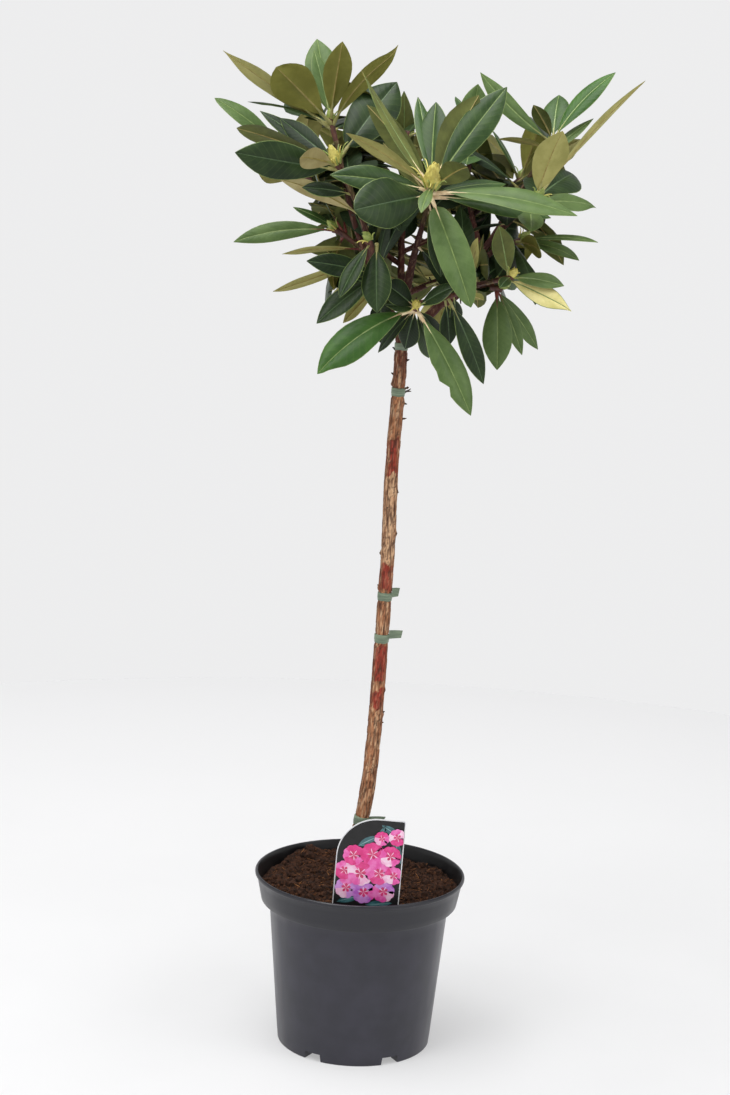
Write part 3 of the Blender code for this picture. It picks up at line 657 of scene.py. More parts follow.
def make_pot():
    """The moulded tub, with drain notches cut through its foot ring."""
    rings = [ring_at(UP * height, Vector((1, 0, 0)), Vector((0, 1, 0)), radius, POT_SIDES)
             for radius, height in pot_profile()]
    pot = linked("pot_shape", new_mesh("pot_body", *capped(rings)))
    corners, notch_faces = [], []
    box = ((0, 3, 2, 1), (4, 5, 6, 7), (0, 1, 5, 4), (1, 2, 6, 5), (2, 3, 7, 6), (3, 0, 4, 7))
    near, far = POT_FOOT_RADIUS - POT_FOOT_RING_WIDTH - POT_EDGE, POT_RIM_RADIUS
    for n in range(NOTCH_COUNT):
        turn = Matrix.Rotation(NOTCH_FIRST_BEARING + 2 * pi * n / NOTCH_COUNT, 3, "Z")
        notch_faces.extend(tuple(len(corners) + c for c in face) for face in box)
        for height, half in ((-NOTCH_HEIGHT, NOTCH_WIDTH / 2), (NOTCH_HEIGHT, NOTCH_WIDTH / 2 - NOTCH_SLOPE)):
            for radius, side in ((near, -half), (far, -half), (far, half), (near, half)):
                corners.append(turn @ Vector((radius, side, height)))
    cutter = linked("notches", new_mesh("notches", corners, notch_faces))
    cut = pot.modifiers.new("notches", "BOOLEAN")
    cut.object = cutter
    cut.solver = "EXACT"
    done = evaluated(pot)
    bpy.data.objects.remove(cutter)
    done.materials.clear()
    hand_over(finished("pot_body", done, PLASTIC, angle=34), "charcoal_plastic", "pot")


make_pot()

# -------------------------------------------------------------------------- peat


def soil_height(x, y):
    heap = exp(-(dist((x, y), SOIL_HEAP_PLACE) / SOIL_HEAP_WIDTH) ** 2)
    here = Vector((x, y, 0))
    clods = abs(noise.noise(here * 120 + Vector((7, 3, 0)))) * 0.0068 - 0.0018
    rough = (noise.noise(here * 60) * 0.0026 + clods + noise.noise(here * 300) * 0.0024
             + noise.noise(here * 700) * 0.0009)
    from_trunk = dist((x, y), TRUNK_COURSE[0][:2])
    free = min(1.0, max(0.0, (from_trunk - 0.012) / 0.010))
    return SOIL_LEVEL + free * (SOIL_HEAP * heap + rough)


def scatter_tree(name, body, lowest_turn, highest_turn, shake):
    """Spreads rough pieces of one body over a surface; every size is a named input."""
    tree = bpy.data.node_groups.new(name, "GeometryNodeTree")
    new_socket = tree.interface.new_socket
    kinds = {"Surface": "Geometry", "Density": "Float", "Smallest": "Float", "Largest": "Float",
             "Length": "Float", "Seed": "Int", "Finish": "Material"}
    sockets = {key: new_socket(key, in_out="INPUT", socket_type="NodeSocket" + kind)
               for key, kind in kinds.items()}
    new_socket("Pieces", in_out="OUTPUT", socket_type="NodeSocketGeometry")

    def add(kind, links=None, **settings):
        return add_node(tree, kind, links, **settings).outputs

    given = add("NodeGroupInput")
    spread = add("GeometryNodeDistributePointsOnFaces",
                 {"Mesh": given["Surface"], "Density": given["Density"], "Seed": given["Seed"]})
    if body == "crumb":
        source = add("GeometryNodeMeshIcoSphere", {"Radius": 1.0, "Subdivisions": 1})
    else:
        longer = add("ShaderNodeMath", {0: given["Length"], 1: 1.0}, operation="MULTIPLY")
        source = add("GeometryNodeMeshCone",
                     {"Vertices": 4, "Radius Top": 0.35, "Radius Bottom": 1.0, "Depth": longer[0]})
    turn = add("FunctionNodeRandomValue", {"Min": lowest_turn, "Max": highest_turn, "Seed": given["Seed"]},
               data_type="FLOAT_VECTOR")
    size = add("FunctionNodeRandomValue", {2: given["Smallest"], 3: given["Largest"], "Seed": given["Seed"]},
               data_type="FLOAT")
    place = add("GeometryNodeInstanceOnPoints", {"Points": spread["Points"], "Instance": source["Mesh"],
                                                 "Rotation": turn["Value"], "Scale": size[1]})
    real = add("GeometryNodeRealizeInstances", {"Geometry": place["Instances"]})
    jolt = add("FunctionNodeRandomValue", {"Min": (-shake,) * 3, "Max": (shake,) * 3},
               data_type="FLOAT_VECTOR")
    uneven = add("GeometryNodeSetPosition", {"Geometry": real["Geometry"], "Offset": jolt["Value"]})
    wear = add("GeometryNodeSetMaterial", {"Geometry": uneven["Geometry"], "Material": given["Finish"]})
    add("NodeGroupOutput", {"Pieces": wear["Geometry"]})
    return tree, sockets


def scattered(name, tree_and_sockets, surface, values):
    """The pieces that a scatter tree spreads over a surface mesh, as one plain mesh."""
    tree, sockets = tree_and_sockets
    carrier = linked(name, surface)
    spread = carrier.modifiers.new("spread", "NODES")
    spread.node_group = tree
    for key, value in values.items():
        spread[sockets[key].identifier] = value
    made = evaluated(carrier)
    made.name = name
    return made


def make_soil():
    """The lumpy bed of peat inside the pot, and the crumbs, clods and fibres that lie on it."""
    edge = inner_radius(SOIL_LEVEL) - 0.0004
    foot_edge = inner_radius(SOIL_FOOT) - 0.0004
    vertices = [Vector((0, 0, soil_height(0, 0)))]
    for share in (r / SOIL_RINGS for r in range(1, SOIL_RINGS + 1)):
        for bearing in bearings(SOIL_SIDES):
            x, y = edge * share * cos(bearing), edge * share * sin(bearing)
            vertices.append(Vector((x, y, soil_height(x, y) - 0.0015 * share ** 12)))
    base = len(vertices)
    foot = [(foot_edge * cos(bearing), foot_edge * sin(bearing), SOIL_FOOT)
            for bearing in bearings(SOIL_SIDES)]
    following = [(s, (s + 1) % SOIL_SIDES) for s in range(SOIL_SIDES)]
    faces = [(0, 1 + s, 1 + t) for s, t in following]
    for a in range(1, base - SOIL_SIDES, SOIL_SIDES):
        faces += [(a + s, a + SOIL_SIDES + s, a + SOIL_SIDES + t, a + t) for s, t in following]
    last = base - SOIL_SIDES
    closing = [(last + s, base + s, base + t, last + t) for s, t in following]
    closing += [(base + t, base + s, base + SOIL_SIDES) for s, t in following]
    bed = new_mesh("peat_bed", [*vertices, *foot, (0, 0, SOIL_FOOT)], faces + closing)
    hand_over(finished("peat_bed", bed, SOIL_FINE), "peat", "soil")
    last_clear = max(i for i, v in enumerate(vertices) if hypot(v.x, v.y) < edge - 0.0045)
    top = new_mesh("peat_scatter", vertices, [f for f in faces if all(c <= last_clear for c in f)])
    crumbs = scatter_tree("peat_crumbs", "crumb", (0, 0, 0), (6.3, 6.3, 6.3), 0.0004)
    fibres = scatter_tree("peat_fibres", "fibre", (1.15, 0, 0), (1.9, 0.5, 6.3), 0.0003)
    for name, tree, density, smallest, largest, length, seed, finish in (
        ("peat_crumbs", crumbs, 40000.0, 0.0005, 0.0026, 1.0, 7, SOIL_CRUMB),
        ("peat_clods", crumbs, 4600.0, 0.0024, 0.0068, 1.0, 19, SOIL_FINE),
        ("peat_fibres", fibres, 12000.0, 0.00014, 0.00036, 30.0, 11, SOIL_FIBRE),
    ):
        values = {"Density": density, "Smallest": smallest, "Largest": largest, "Length": length,
                  "Seed": seed, "Finish": finish}
        hand_over(finished(name, scattered(name, tree, top, values), smooth=False), "peat")


make_soil()

# ------------------------------------------------------------------------- trunk

TRUNK_SIDES = 44
TRUNK_RINGS = 620

BARK_TAN = tone(190, 130, 90)
# brown bark at the foot, and also the painted shade on the trunk's flanks
BARK_BROWN_AND_FLANK_SHADE = tone(150, 98, 62)
BARK_RED = tone(160, 56, 40)
BARK_STRAW = tone(215, 170, 130)
# young bark near the crown, darkened in part as painted shade under the crown
BARK_YOUNG_AND_CROWN_SHADE = tone(110, 52, 40)
# stretches where the outer bark has peeled to the red: lowest and highest point
PEELED = ((0.371, 0.391), (0.401, 0.440), (0.496, 0.524), (0.621, 0.658))
# a weathered, paler stretch, the top of the brown bark at the foot, and where the dark young bark under the
# crown, partly painted shade from the crown, begins and is full
WEATHERED = (0.524, 0.621)
FOOT_BARK_TOP = 0.251
YOUNG_BARK_AND_CROWN_SHADE = (0.690, 0.765)
# dark cracks, flecks and knots, and also the painted shade in sunken bark and on the left flank
BARK_DARK_AND_SHADE = tone(62, 35, 24)
BARK_PALE = tone(226, 187, 147)
BARK_GREY = tone(158, 142, 132)

# height, bearing in degrees from the right round by the back, how far it stands out, how wide it is
KNOBS = (
    (0.7100, 196, 0.0020, 0.0080), (0.6950, 8, 0.0010, 0.0030), (0.5830, 235, 0.0012, 0.0038),
    (0.6020, 330, 0.0014, 0.0030), (0.5580, 345, 0.0014, 0.0032), (0.5360, 190, 0.0013, 0.0030),
    (0.4990, 185, 0.0013, 0.0026), (0.3995, 290, 0.0014, 0.0034), (0.3910, 330, 0.0012, 0.0032),
    (0.3450, 268, 0.0012, 0.0034), (0.3630, 10, 0.0012, 0.0030), (0.3680, 235, 0.0009, 0.0026),
    (0.2950, 70, 0.0014, 0.0040), (0.4600, 100, 0.0014, 0.0040), (0.6400, 80, 0.0013, 0.0036),
    (0.5150, 60, 0.0012, 0.0034), (0.7350, 120, 0.0013, 0.0034), (0.2250, 215, 0.0012, 0.0040),
)


def smooth_step(value, low, high):
    share = min(1.0, max(0.0, (value - low) / (high - low)))
    return share * share * (3 - 2 * share)


def blend(first, second, share):
    return tuple(a + (b - a) * share for a, b in zip(first, second))


def grained(around, fineness, upward):
    """A smooth random value at a place on the trunk's skin."""
    return waver(around.x * fineness, around.y * fineness, upward)


def bark_relief(around, height):
    """How far the bark stands out: long flakes, cracks between them, and fine fibres."""
    ragged = grained(around, 160, height * 26)
    plate = grained(around, 430, height * 70 + ragged * 2.0)
    fibre = grained(around, 1150, height * 130)
    crack = max(0.0, 1 - abs(plate + 0.05) * 6)
    return 0.00036 * smooth_step(plate, -0.05, 0.22) - 0.00044 * crack + 0.00018 * fibre + 0.00022 * ragged


def knob_rise(height, bearing, radius):
    rise = 0.0
    for level, degrees, proud, width in KNOBS:
        apart = (bearing - radians(degrees) + pi) % (2 * pi) - pi
        away = hypot(height - level, apart * radius)
        if away < width * 2.5:
            rise += proud * exp(-(away / width) ** 2) * (1 + 0.35 * waver(bearing * 6, height * 900, 0))
    return rise


def bark_tone(around, height, bearing, relief):
    """The bark's tone: peeled, weathered or whole; painted shade that browns both flanks and darkens the left
    one; dark cracks, deepened by painted shade where the bark is sunken; pale flakes and grey flecks.
    """
    at = height + grained(around, 190, height * 60) * 0.0085
    side = abs(cos(bearing) + 0.55 * grained(around, 260, height * 38 + 7))
    patch = grained(around, 330, height * 62 + 3)
    fleck = grained(around, 760, height * 200 + 11)
    streak = grained(around, 700, height * 58 + 23)
    line = grained(around, 820, height * 52 + 41)
    if any(low <= at < high for low, high in PEELED):
        colour = BARK_RED
    elif WEATHERED[0] <= at < WEATHERED[1]:
        colour = BARK_STRAW
    else:
        colour = BARK_BROWN_AND_FLANK_SHADE if at < FOOT_BARK_TOP else BARK_TAN
    # painted shade: both flanks, as the front view sees them, turn browner
    colour = blend(colour, BARK_BROWN_AND_FLANK_SHADE, 0.60 * smooth_step(side, 0.30, 0.80))
    # young bark under the crown, partly painted shade from the crown
    colour = blend(colour, BARK_YOUNG_AND_CROWN_SHADE, smooth_step(at, *YOUNG_BARK_AND_CROWN_SHADE))
    bare = 1 - 0.80 * smooth_step(colour[0] / max(colour[1], 0.001), 3.2, 6.0)
    for over, share in (
        (BARK_PALE, 0.60 * bare * smooth_step(patch, 0.16, 0.42)),
        (BARK_PALE, 0.80 * bare * smooth_step(streak, 0.20, 0.42)),
        (BARK_GREY, 0.45 * smooth_step(fleck, 0.34, 0.50) * smooth_step(height, 0.635, 0.705)),
        (BARK_DARK_AND_SHADE, 0.75 * smooth_step(line, 0.14, 0.34)),
        (BARK_DARK_AND_SHADE, 0.60 * smooth_step(-fleck, 0.26, 0.48)),
        # dark crack colour, deepened as painted shade where the bark is sunken
        (BARK_DARK_AND_SHADE, 0.75 * smooth_step(-relief, 0.00012, 0.00040)),
        # painted shade: the left flank darker
        (BARK_DARK_AND_SHADE, 0.35 * smooth_step(-cos(bearing), 0.55, 0.95)),
    ):
        colour = blend(colour, over, share)
    return colour


TIE_SQUEEZE = 0.0004
TIE_SQUEEZE_FADE = 0.0030


def bark_free(height):
    """How freely the bark stands up at a height: nothing under a band of tape, all of it away from one."""
    clear = min(abs(height - tie[0]) - tie[1] / 2 for tie in TIES)
    return smooth_step(clear, 0.0005, TIE_SQUEEZE_FADE)


def trunk_radius(share):
    return TRUNK_FOOT_RADIUS + (TRUNK_TOP_RADIUS - TRUNK_FOOT_RADIUS) * share


def make_trunk():
    frames = course_frames(smooth_course(TRUNK_COURSE, TRUNK_RINGS), first_up=UP)
    rings, tones = [], []
    for i, (here, across, upright, _) in enumerate(frames):
        taper = trunk_radius(i / (TRUNK_RINGS - 1)) - 0.0001
        swell = TRUNK_FLARE * exp(-(here.z - TRUNK_COURSE[0][2]) / TRUNK_FLARE_HEIGHT)
        free = bark_free(here.z)
        ring = []
        for bearing in bearings(TRUNK_SIDES):
            around = Vector((cos(bearing) * taper, sin(bearing) * taper, 0))
            uneven = 1 + 0.05 * waver(cos(bearing), sin(bearing), here.z * 45)
            flare = swell * (0.75 + 0.25 * cos(3 * bearing))
            base = taper * (1 + (uneven - 1) * free) - TIE_SQUEEZE * (1 - free) + flare
            relief = bark_relief(around, here.z)
            knob = knob_rise(here.z, bearing, taper)
            ring.append(here + spoke(across, upright, bearing) * (base + (relief + knob) * free))
            colour = bark_tone(around, here.z, bearing, relief)
            tones.append(blend(colour, BARK_DARK_AND_SHADE, 0.5 * smooth_step(knob, 0.0006, 0.0014)))
        rings.append(ring)
    for point in rings[0]:
        point.z = SOIL_LEVEL - 0.001
    gathered = Gathered()
    gathered.add(*capped(rings), 0, tones=tones + [BARK_DARK_AND_SHADE, BARK_DARK_AND_SHADE])
    hand_over(finished("trunk_bark", gathered.mesh("trunk_bark"), BARK), "red_brown_bark", "trunk")
    return frames


trunk_frames = make_trunk()


def trunk_place(height):
    """Middle, across, upright and ahead of the trunk at a height."""
    return next(f for f in trunk_frames if f[0].z > height)


# -------------------------------------------------------------------------- ties

TIE_SIDES = 56
TIE_RADIUS_EASE = 0.0001
TAB_STEPS = 9


def slab_faces(steps):
    """The faces of a thin bar of four-cornered rings, with both ends closed."""
    return skin_faces(steps + 1, 4) + [(3, 2, 1, 0), tuple(steps * 4 + c for c in range(4))]


def make_ties():
    """Bands of binding tape: two turns with a step where they overlap; some have a free end."""
    for number, (height, band, tab_length, tab_height) in enumerate(TIES, start=1):
        here, across, upright, ahead = trunk_place(height)
        inner = trunk_radius((height - TRUNK_COURSE[0][2]) / (TRUNK_COURSE[-1][2] - TRUNK_COURSE[0][2]))
        half = band / 2
        gathered = Gathered()
        points, faces = [], []
        for bearing in bearings(TIE_SIDES):
            out = spoke(across, upright, bearing)
            lift = 0.0009 * waver(cos(bearing) * 1.5, sin(bearing) * 1.5, number * 13 + 3)
            wall = inner + TIE_RADIUS_EASE + 0.0002 * waver(cos(bearing) * 2, sin(bearing) * 2, number * 7)
            low, high = -half + lift, half + lift * 0.6
            profile = ((low, inner - 0.0006), (low, wall - 0.0002), (low + 0.0003, wall),
                       (low + half * 0.55, wall + 0.0001), (low + half * 0.62, wall + 0.0004),
                       (high - half * 0.5, wall + 0.0004), (high - 0.0003, wall + 0.0003),
                       (high, wall), (high, inner - 0.0006))
            points += [here + ahead * along + out * radius for along, radius in profile]
        count = len(profile)
        for s in range(TIE_SIDES):
            a, b = s * count, (s + 1) % TIE_SIDES * count
            faces += [(a + k, b + k, b + (k + 1) % count, a + (k + 1) % count) for k in range(count)]
        gathered.add(points, faces, 0)
        if tab_length:
            slabs = []
            for n in range(TAB_STEPS + 1):
                along = n / TAB_STEPS
                reach = inner - 0.0002 + (tab_length + 0.0006) * along
                curl = 0.0016 * sin(along * pi * 0.9) + 0.0009 * along
                foot = -tab_height / 2 + 0.0020 * along * along * 0.6
                for rise, side in ((foot, -1), (tab_height / 2, -1), (tab_height / 2, 1), (foot, 1)):
                    end = 0.0014 * (rise / tab_height) if n == TAB_STEPS else 0.0
                    raised = rise + (0.0045 if tab_height > 0.005 else 0.0030)
                    corner = Vector((reach + end, curl - 0.0004 * side - 0.0020, 0))
                    slabs.append(here + corner + ahead * raised)
            gathered.add(slabs, slab_faces(TAB_STEPS), 0)
        mesh = gathered.mesh(f"tie_band_{number}", outward=True)
        hand_over(finished(f"tie_band_{number}", mesh, TAPE, angle=50), "tie_green", f"tie_{number}")


make_ties()

# ------------------------------------------------------------------------- limbs

BOUGH_SIDES = 18
BOUGH_RINGS = 60


def course_point(course, share):
    at = share * (len(course) - 1)
    k = min(int(at), len(course) - 2)
    return course[k].lerp(course[k + 1], at - k)


def limb_radius(foot_radius, share):
    return foot_radius + (LIMB_TIP_RADIUS - foot_radius) * share ** 0.8


def plan_limbs():
    """The middle line and foot radius of each limb."""
    coarse = {"trunk": smooth_course(TRUNK_COURSE, 31)}
    courses, radii = {}, {"trunk": TRUNK_TOP_RADIUS}
    masses = {name: (Vector(middle), Vector(grows).normalized()) for name, middle, grows in MASSES}
    for name, parent, share, mass in LIMBS:
        middle, grows = masses[mass]
        start = course_point(coarse[parent], share)
        if share == 1.0:
            start = start + UP * GAP
        straight = (middle - start).normalized()
        aim = (straight + grows * LIMB_TURN).normalized()
        end = middle - aim * SEAT_RADIUS
        pull = (end - start).length * LIMB_BULGE
        sideways = Vector((straight.x, straight.y, 0)).normalized()
        ahead = UP + straight * LIMB_SPREAD if share == 1.0 else straight + sideways * LIMB_SPREAD
        control = (start, start + ahead.normalized() * pull, end - aim * pull, end)
        coarse[name] = bezier_course(*control, LIMB_POINTS)
        courses[name] = bezier_course(*control, BOUGH_RINGS)
        there = radii[parent] if parent == "trunk" else limb_radius(radii[parent], share)
        radii[name] = there * LIMB_FOOT_SHARE
    return courses, radii


LIMB_COURSES, LIMB_RADII = plan_limbs()
BOUGH_LOW = tone(76, 35, 29)
BOUGH_HIGH = tone(58, 26, 23)
BOUGH_GREEN = tone(104, 98, 58)


def make_boughs():
    """Boughs with old leaf scars and fine bark, each from its crotch to its whorl."""
    gathered = Gathered()
    for order, (name, _, _, _) in enumerate(LIMBS):
        rings, tones = [], []
        for i, (here, across, upright, _) in enumerate(course_frames(LIMB_COURSES[name])):
            share = i / (BOUGH_RINGS - 1)
            radius = limb_radius(LIMB_RADII[name], share)
            scar = 0.00045 * max(0.0, sin(i * 0.9 + order)) ** 6
            ring = []
            for bearing in bearings(BOUGH_SIDES):
                grain = waver(cos(bearing) * 3, sin(bearing) * 3, share * 22 + order * 5)
                fine = waver(cos(bearing) * 7, sin(bearing) * 7, share * 60 + order * 9)
                rise = radius + 0.00042 * grain + 0.00020 * fine + scar
                ring.append(here + spoke(across, upright, bearing) * rise)
                colour = blend(BOUGH_LOW, BOUGH_HIGH, smooth_step(share + 0.3 * grain, 0.1, 0.6))
                colour = blend(colour, BOUGH_GREEN, 0.7 * smooth_step(share + 0.2 * grain, 0.80, 1.0))
                colour = blend(colour, BARK_DARK_AND_SHADE, 0.6 * smooth_step(-fine, 0.15, 0.45))
                tones.append(blend(colour, BARK_PALE, 0.25 * smooth_step(grain, 0.30, 0.55)))
            rings.append(ring)
        gathered.add(*capped(rings), 0, tones=tones + [BOUGH_LOW, BOUGH_GREEN])
    placed = finished("bough_bark_all", gathered.mesh("bough_bark_all"), BOUGH_BARK)
    hand_over(placed, "young_bark", *[name for name, _, _, _ in LIMBS])


make_boughs()




# a whorl that stands a little off the middle of its mass
WHORL_SHIFTS = {"left_low": (0.004, -0.002, 0.016)}
WHORLS = {name: (Vector(middle) + Vector(WHORL_SHIFTS.get(name, (0, 0, 0))), Vector(grows).normalized())
          for name, middle, grows in MASSES}


# a short shoot that leaves its bough below the whorl: bough, how far along it, middle, direction
SIDE_SHOOTS = {"side_bud": ("bough_front_low", 0.55, (0.0712, -0.075, 0.8149), (0.75, -0.35, 0.45))}
for side_name, (_, _, side_middle, side_grows) in SIDE_SHOOTS.items():
    WHORLS[side_name] = (Vector(side_middle), Vector(side_grows).normalized())


# dead stubs on the trunk: height, bearing in degrees, length
STUBS = (
    (0.7085, 0, 0.0068), (0.7050, 12, 0.0084), (0.6935, 4, 0.0052), (0.6780, 356, 0.0056),
    (0.5840, 250, 0.0032), (0.6010, 340, 0.0036), (0.5580, 340, 0.0040), (0.5360, 186, 0.0032),
    (0.7230, 190, 0.0036), (0.4990, 184, 0.0032), (0.3635, 6, 0.0044), (0.3530, 355, 0.0036),
    (0.7380, 350, 0.0040), (0.7490, 175, 0.0040), (0.2940, 95, 0.0040), (0.6250, 100, 0.0040),
)


def any_way(chance):
    return Vector([chance.uniform(-1, 1) for _ in range(3)])


def make_twigs():
    """The last growth of each shoot, dead spurs along the boughs, and stubs on the trunk."""
    chance = random.Random(SEED + 3)
    gathered = Gathered()
    for name, _, _, mass in LIMBS:
        middle, grows = WHORLS[mass]
        course = LIMB_COURSES[name]
        start, end = course[-2], middle + grows * 0.006
        aim = (course[-1] - course[-2]).normalized()
        shoot = bezier_course(start, start + aim * 0.010, end - grows * 0.010, end, 10)
        gathered.add_tube(shoot, lambda t: 0.0024 + 0.0009 * t, 10, 0)
        for _ in range(3):
            k = chance.randrange(12, BOUGH_RINGS - 8)
            root = course[k]
            out = any_way(chance).cross(root - course[k - 1]).normalized()
            reach = chance.uniform(0.006, 0.013)
            bend = any_way(chance) * reach * 0.25
            spur = bezier_course(root, root + out * reach * 0.5, root + out * reach * 0.8 + bend,
                                 root + out * reach + bend, 6)
            gathered.add_tube(spur, lambda t: 0.0011 - 0.0005 * t, 6, 1)
    for name, (limb, share, _, _) in SIDE_SHOOTS.items():
        middle, grows = WHORLS[name]
        start = course_point(LIMB_COURSES[limb], share)
        shoot = bezier_course(start, start.lerp(middle, 0.45), middle - grows * 0.014,
                              middle + grows * 0.004, 14)
        gathered.add_tube(shoot, lambda t: 0.0030 - 0.0008 * t, 10, 0)
    for height, degrees, reach in STUBS:
        here, across, upright, ahead = trunk_place(height)
        out = spoke(across, upright, radians(degrees))
        base = here + out * 0.0055
        tip = here + out * (0.0070 + reach * 0.55) + ahead * chance.uniform(-0.001, 0.003)
        spur = bezier_course(base, base.lerp(tip, 0.4), base.lerp(tip, 0.7) + ahead * 0.001, tip, 6)
        gathered.add_tube(spur, lambda t: 0.0014 - 0.0008 * t, 7, 1)
        for _ in range(2 if reach > 0.0050 else 0):
            side = any_way(chance) * reach * 0.25
            fork = bezier_course(base.lerp(tip, 0.6), base.lerp(tip, 0.8) + side * 0.4,
                                 base.lerp(tip, 0.9) + side * 0.8, tip + side, 5)
            gathered.add_tube(fork, lambda t: 0.0008 - 0.0004 * t, 6, 1)
    hand_over(finished("twigs", gathered.mesh("twigs"), TWIG_RED, TWIG_DARK), "young_bark")


make_twigs()

# ------------------------------------------------------------------------ leaves

TOP_SHEEN = 0.20
UNDERSIDE = {"vein": 0.04, "grain": 0.12}
# painted light and shade: the tops are lighter and darker copies of one leaf green, dealt out leaf by leaf
# after the light on each, beside the leaves' own spread of tone. "grey" is the pale copy that paints the
# sheen of a top that catches the light; "shade" is the dark copy that paints shade deep in the crown, and
# with it "moss" paints shade on undersides and "rib_dim" on midribs.
LEAF_FINISHES = {
    "dark": leaf_skin("leaf_top_dark", tone(46, 64, 33), tone(32, 48, 25), 0.40, sheen=TOP_SHEEN),
    "middle": leaf_skin("leaf_top_middle", tone(58, 80, 41), tone(43, 63, 33), 0.40, sheen=TOP_SHEEN),
    "green": leaf_skin("leaf_top_green", tone(66, 92, 47), tone(50, 74, 38), 0.40, sheen=TOP_SHEEN),
    "grey": leaf_skin("leaf_top_grey_sheen", tone(92, 114, 65), tone(75, 97, 52), 0.43, sheen=TOP_SHEEN),
    "bright": leaf_skin("leaf_top_bright", tone(68, 104, 43), tone(52, 84, 36), 0.40, sheen=TOP_SHEEN),
    "yellow": leaf_skin("leaf_top_yellow", tone(228, 218, 152), tone(196, 188, 116), 0.48),
    "olive": leaf_skin("leaf_under_olive", tone(136, 134, 64), tone(116, 114, 50), 0.62, **UNDERSIDE),
    "khaki": leaf_skin("leaf_under_khaki", tone(170, 164, 100), tone(148, 144, 80), 0.62, **UNDERSIDE),
    "tan": leaf_skin("leaf_under_tan", tone(182, 170, 122), tone(160, 146, 98), 0.62, **UNDERSIDE),
    "shade": leaf_skin("leaf_top_shade", tone(36, 52, 30), tone(26, 39, 23), 0.42, vein=0.04, sheen=0.18),
    "moss": leaf_skin("leaf_under_moss", tone(104, 110, 56), tone(82, 88, 44), 0.66, vein=0.04),
    "rib": soft_stalk("midrib_pale", tone(133, 151, 91), tone(109, 130, 72)),
    "rib_dim": soft_stalk("midrib_dim", tone(78, 101, 61), tone(62, 85, 51)),
    "rib_under": soft_stalk("midrib_under", tone(166, 152, 86), tone(142, 126, 66)),
    "edge": soft_stalk("leaf_edge", tone(112, 130, 64), tone(88, 108, 50)),
    "stalk": soft_stalk("leaf_stalk", tone(170, 164, 104), tone(140, 138, 78)),
    "stalk_pink": soft_stalk("leaf_stalk_pink", tone(238, 220, 180), tone(212, 184, 144)),
    "stalk_red": soft_stalk("leaf_stalk_red", tone(134, 66, 56), tone(104, 46, 42)),
}
FINISH_NUMBER = {name: n for n, name in enumerate(LEAF_FINISHES)}


def outline_share(u, fullness, shape, heel):
    """Half width of a blade at a share of its length, as a share of the widest: full below, pointed above."""
    widest = 0.5 ** (1 / shape)
    return sin(pi * u ** shape) ** (heel if u < widest else fullness)


STALK_SHARE = 0.13
BLADE_CURL = 0.28
BLADE_THICKNESS = 0.0005
# across a blade above, then below: places (r beside the midrib, e by the edge) and the finish after each,
# T top, U under, R rib, V rib below, E edge
FINE_BLADE = ((-1.0, "e", -0.62, -0.30, "r", 0.0, "r", 0.30, 0.62, "e", 1.0), "ETTTRRTTTE",
              (0.62, 0.30, "r", 0.0, "r", -0.30, -0.62), "UUUVVUUU")
PLAIN_BLADE = ((-1.0, -0.55, "r", "r", 0.55, 1.0), "TTRTT", (0.55, "r", 0.0, "r", -0.55), "UUVVUU")


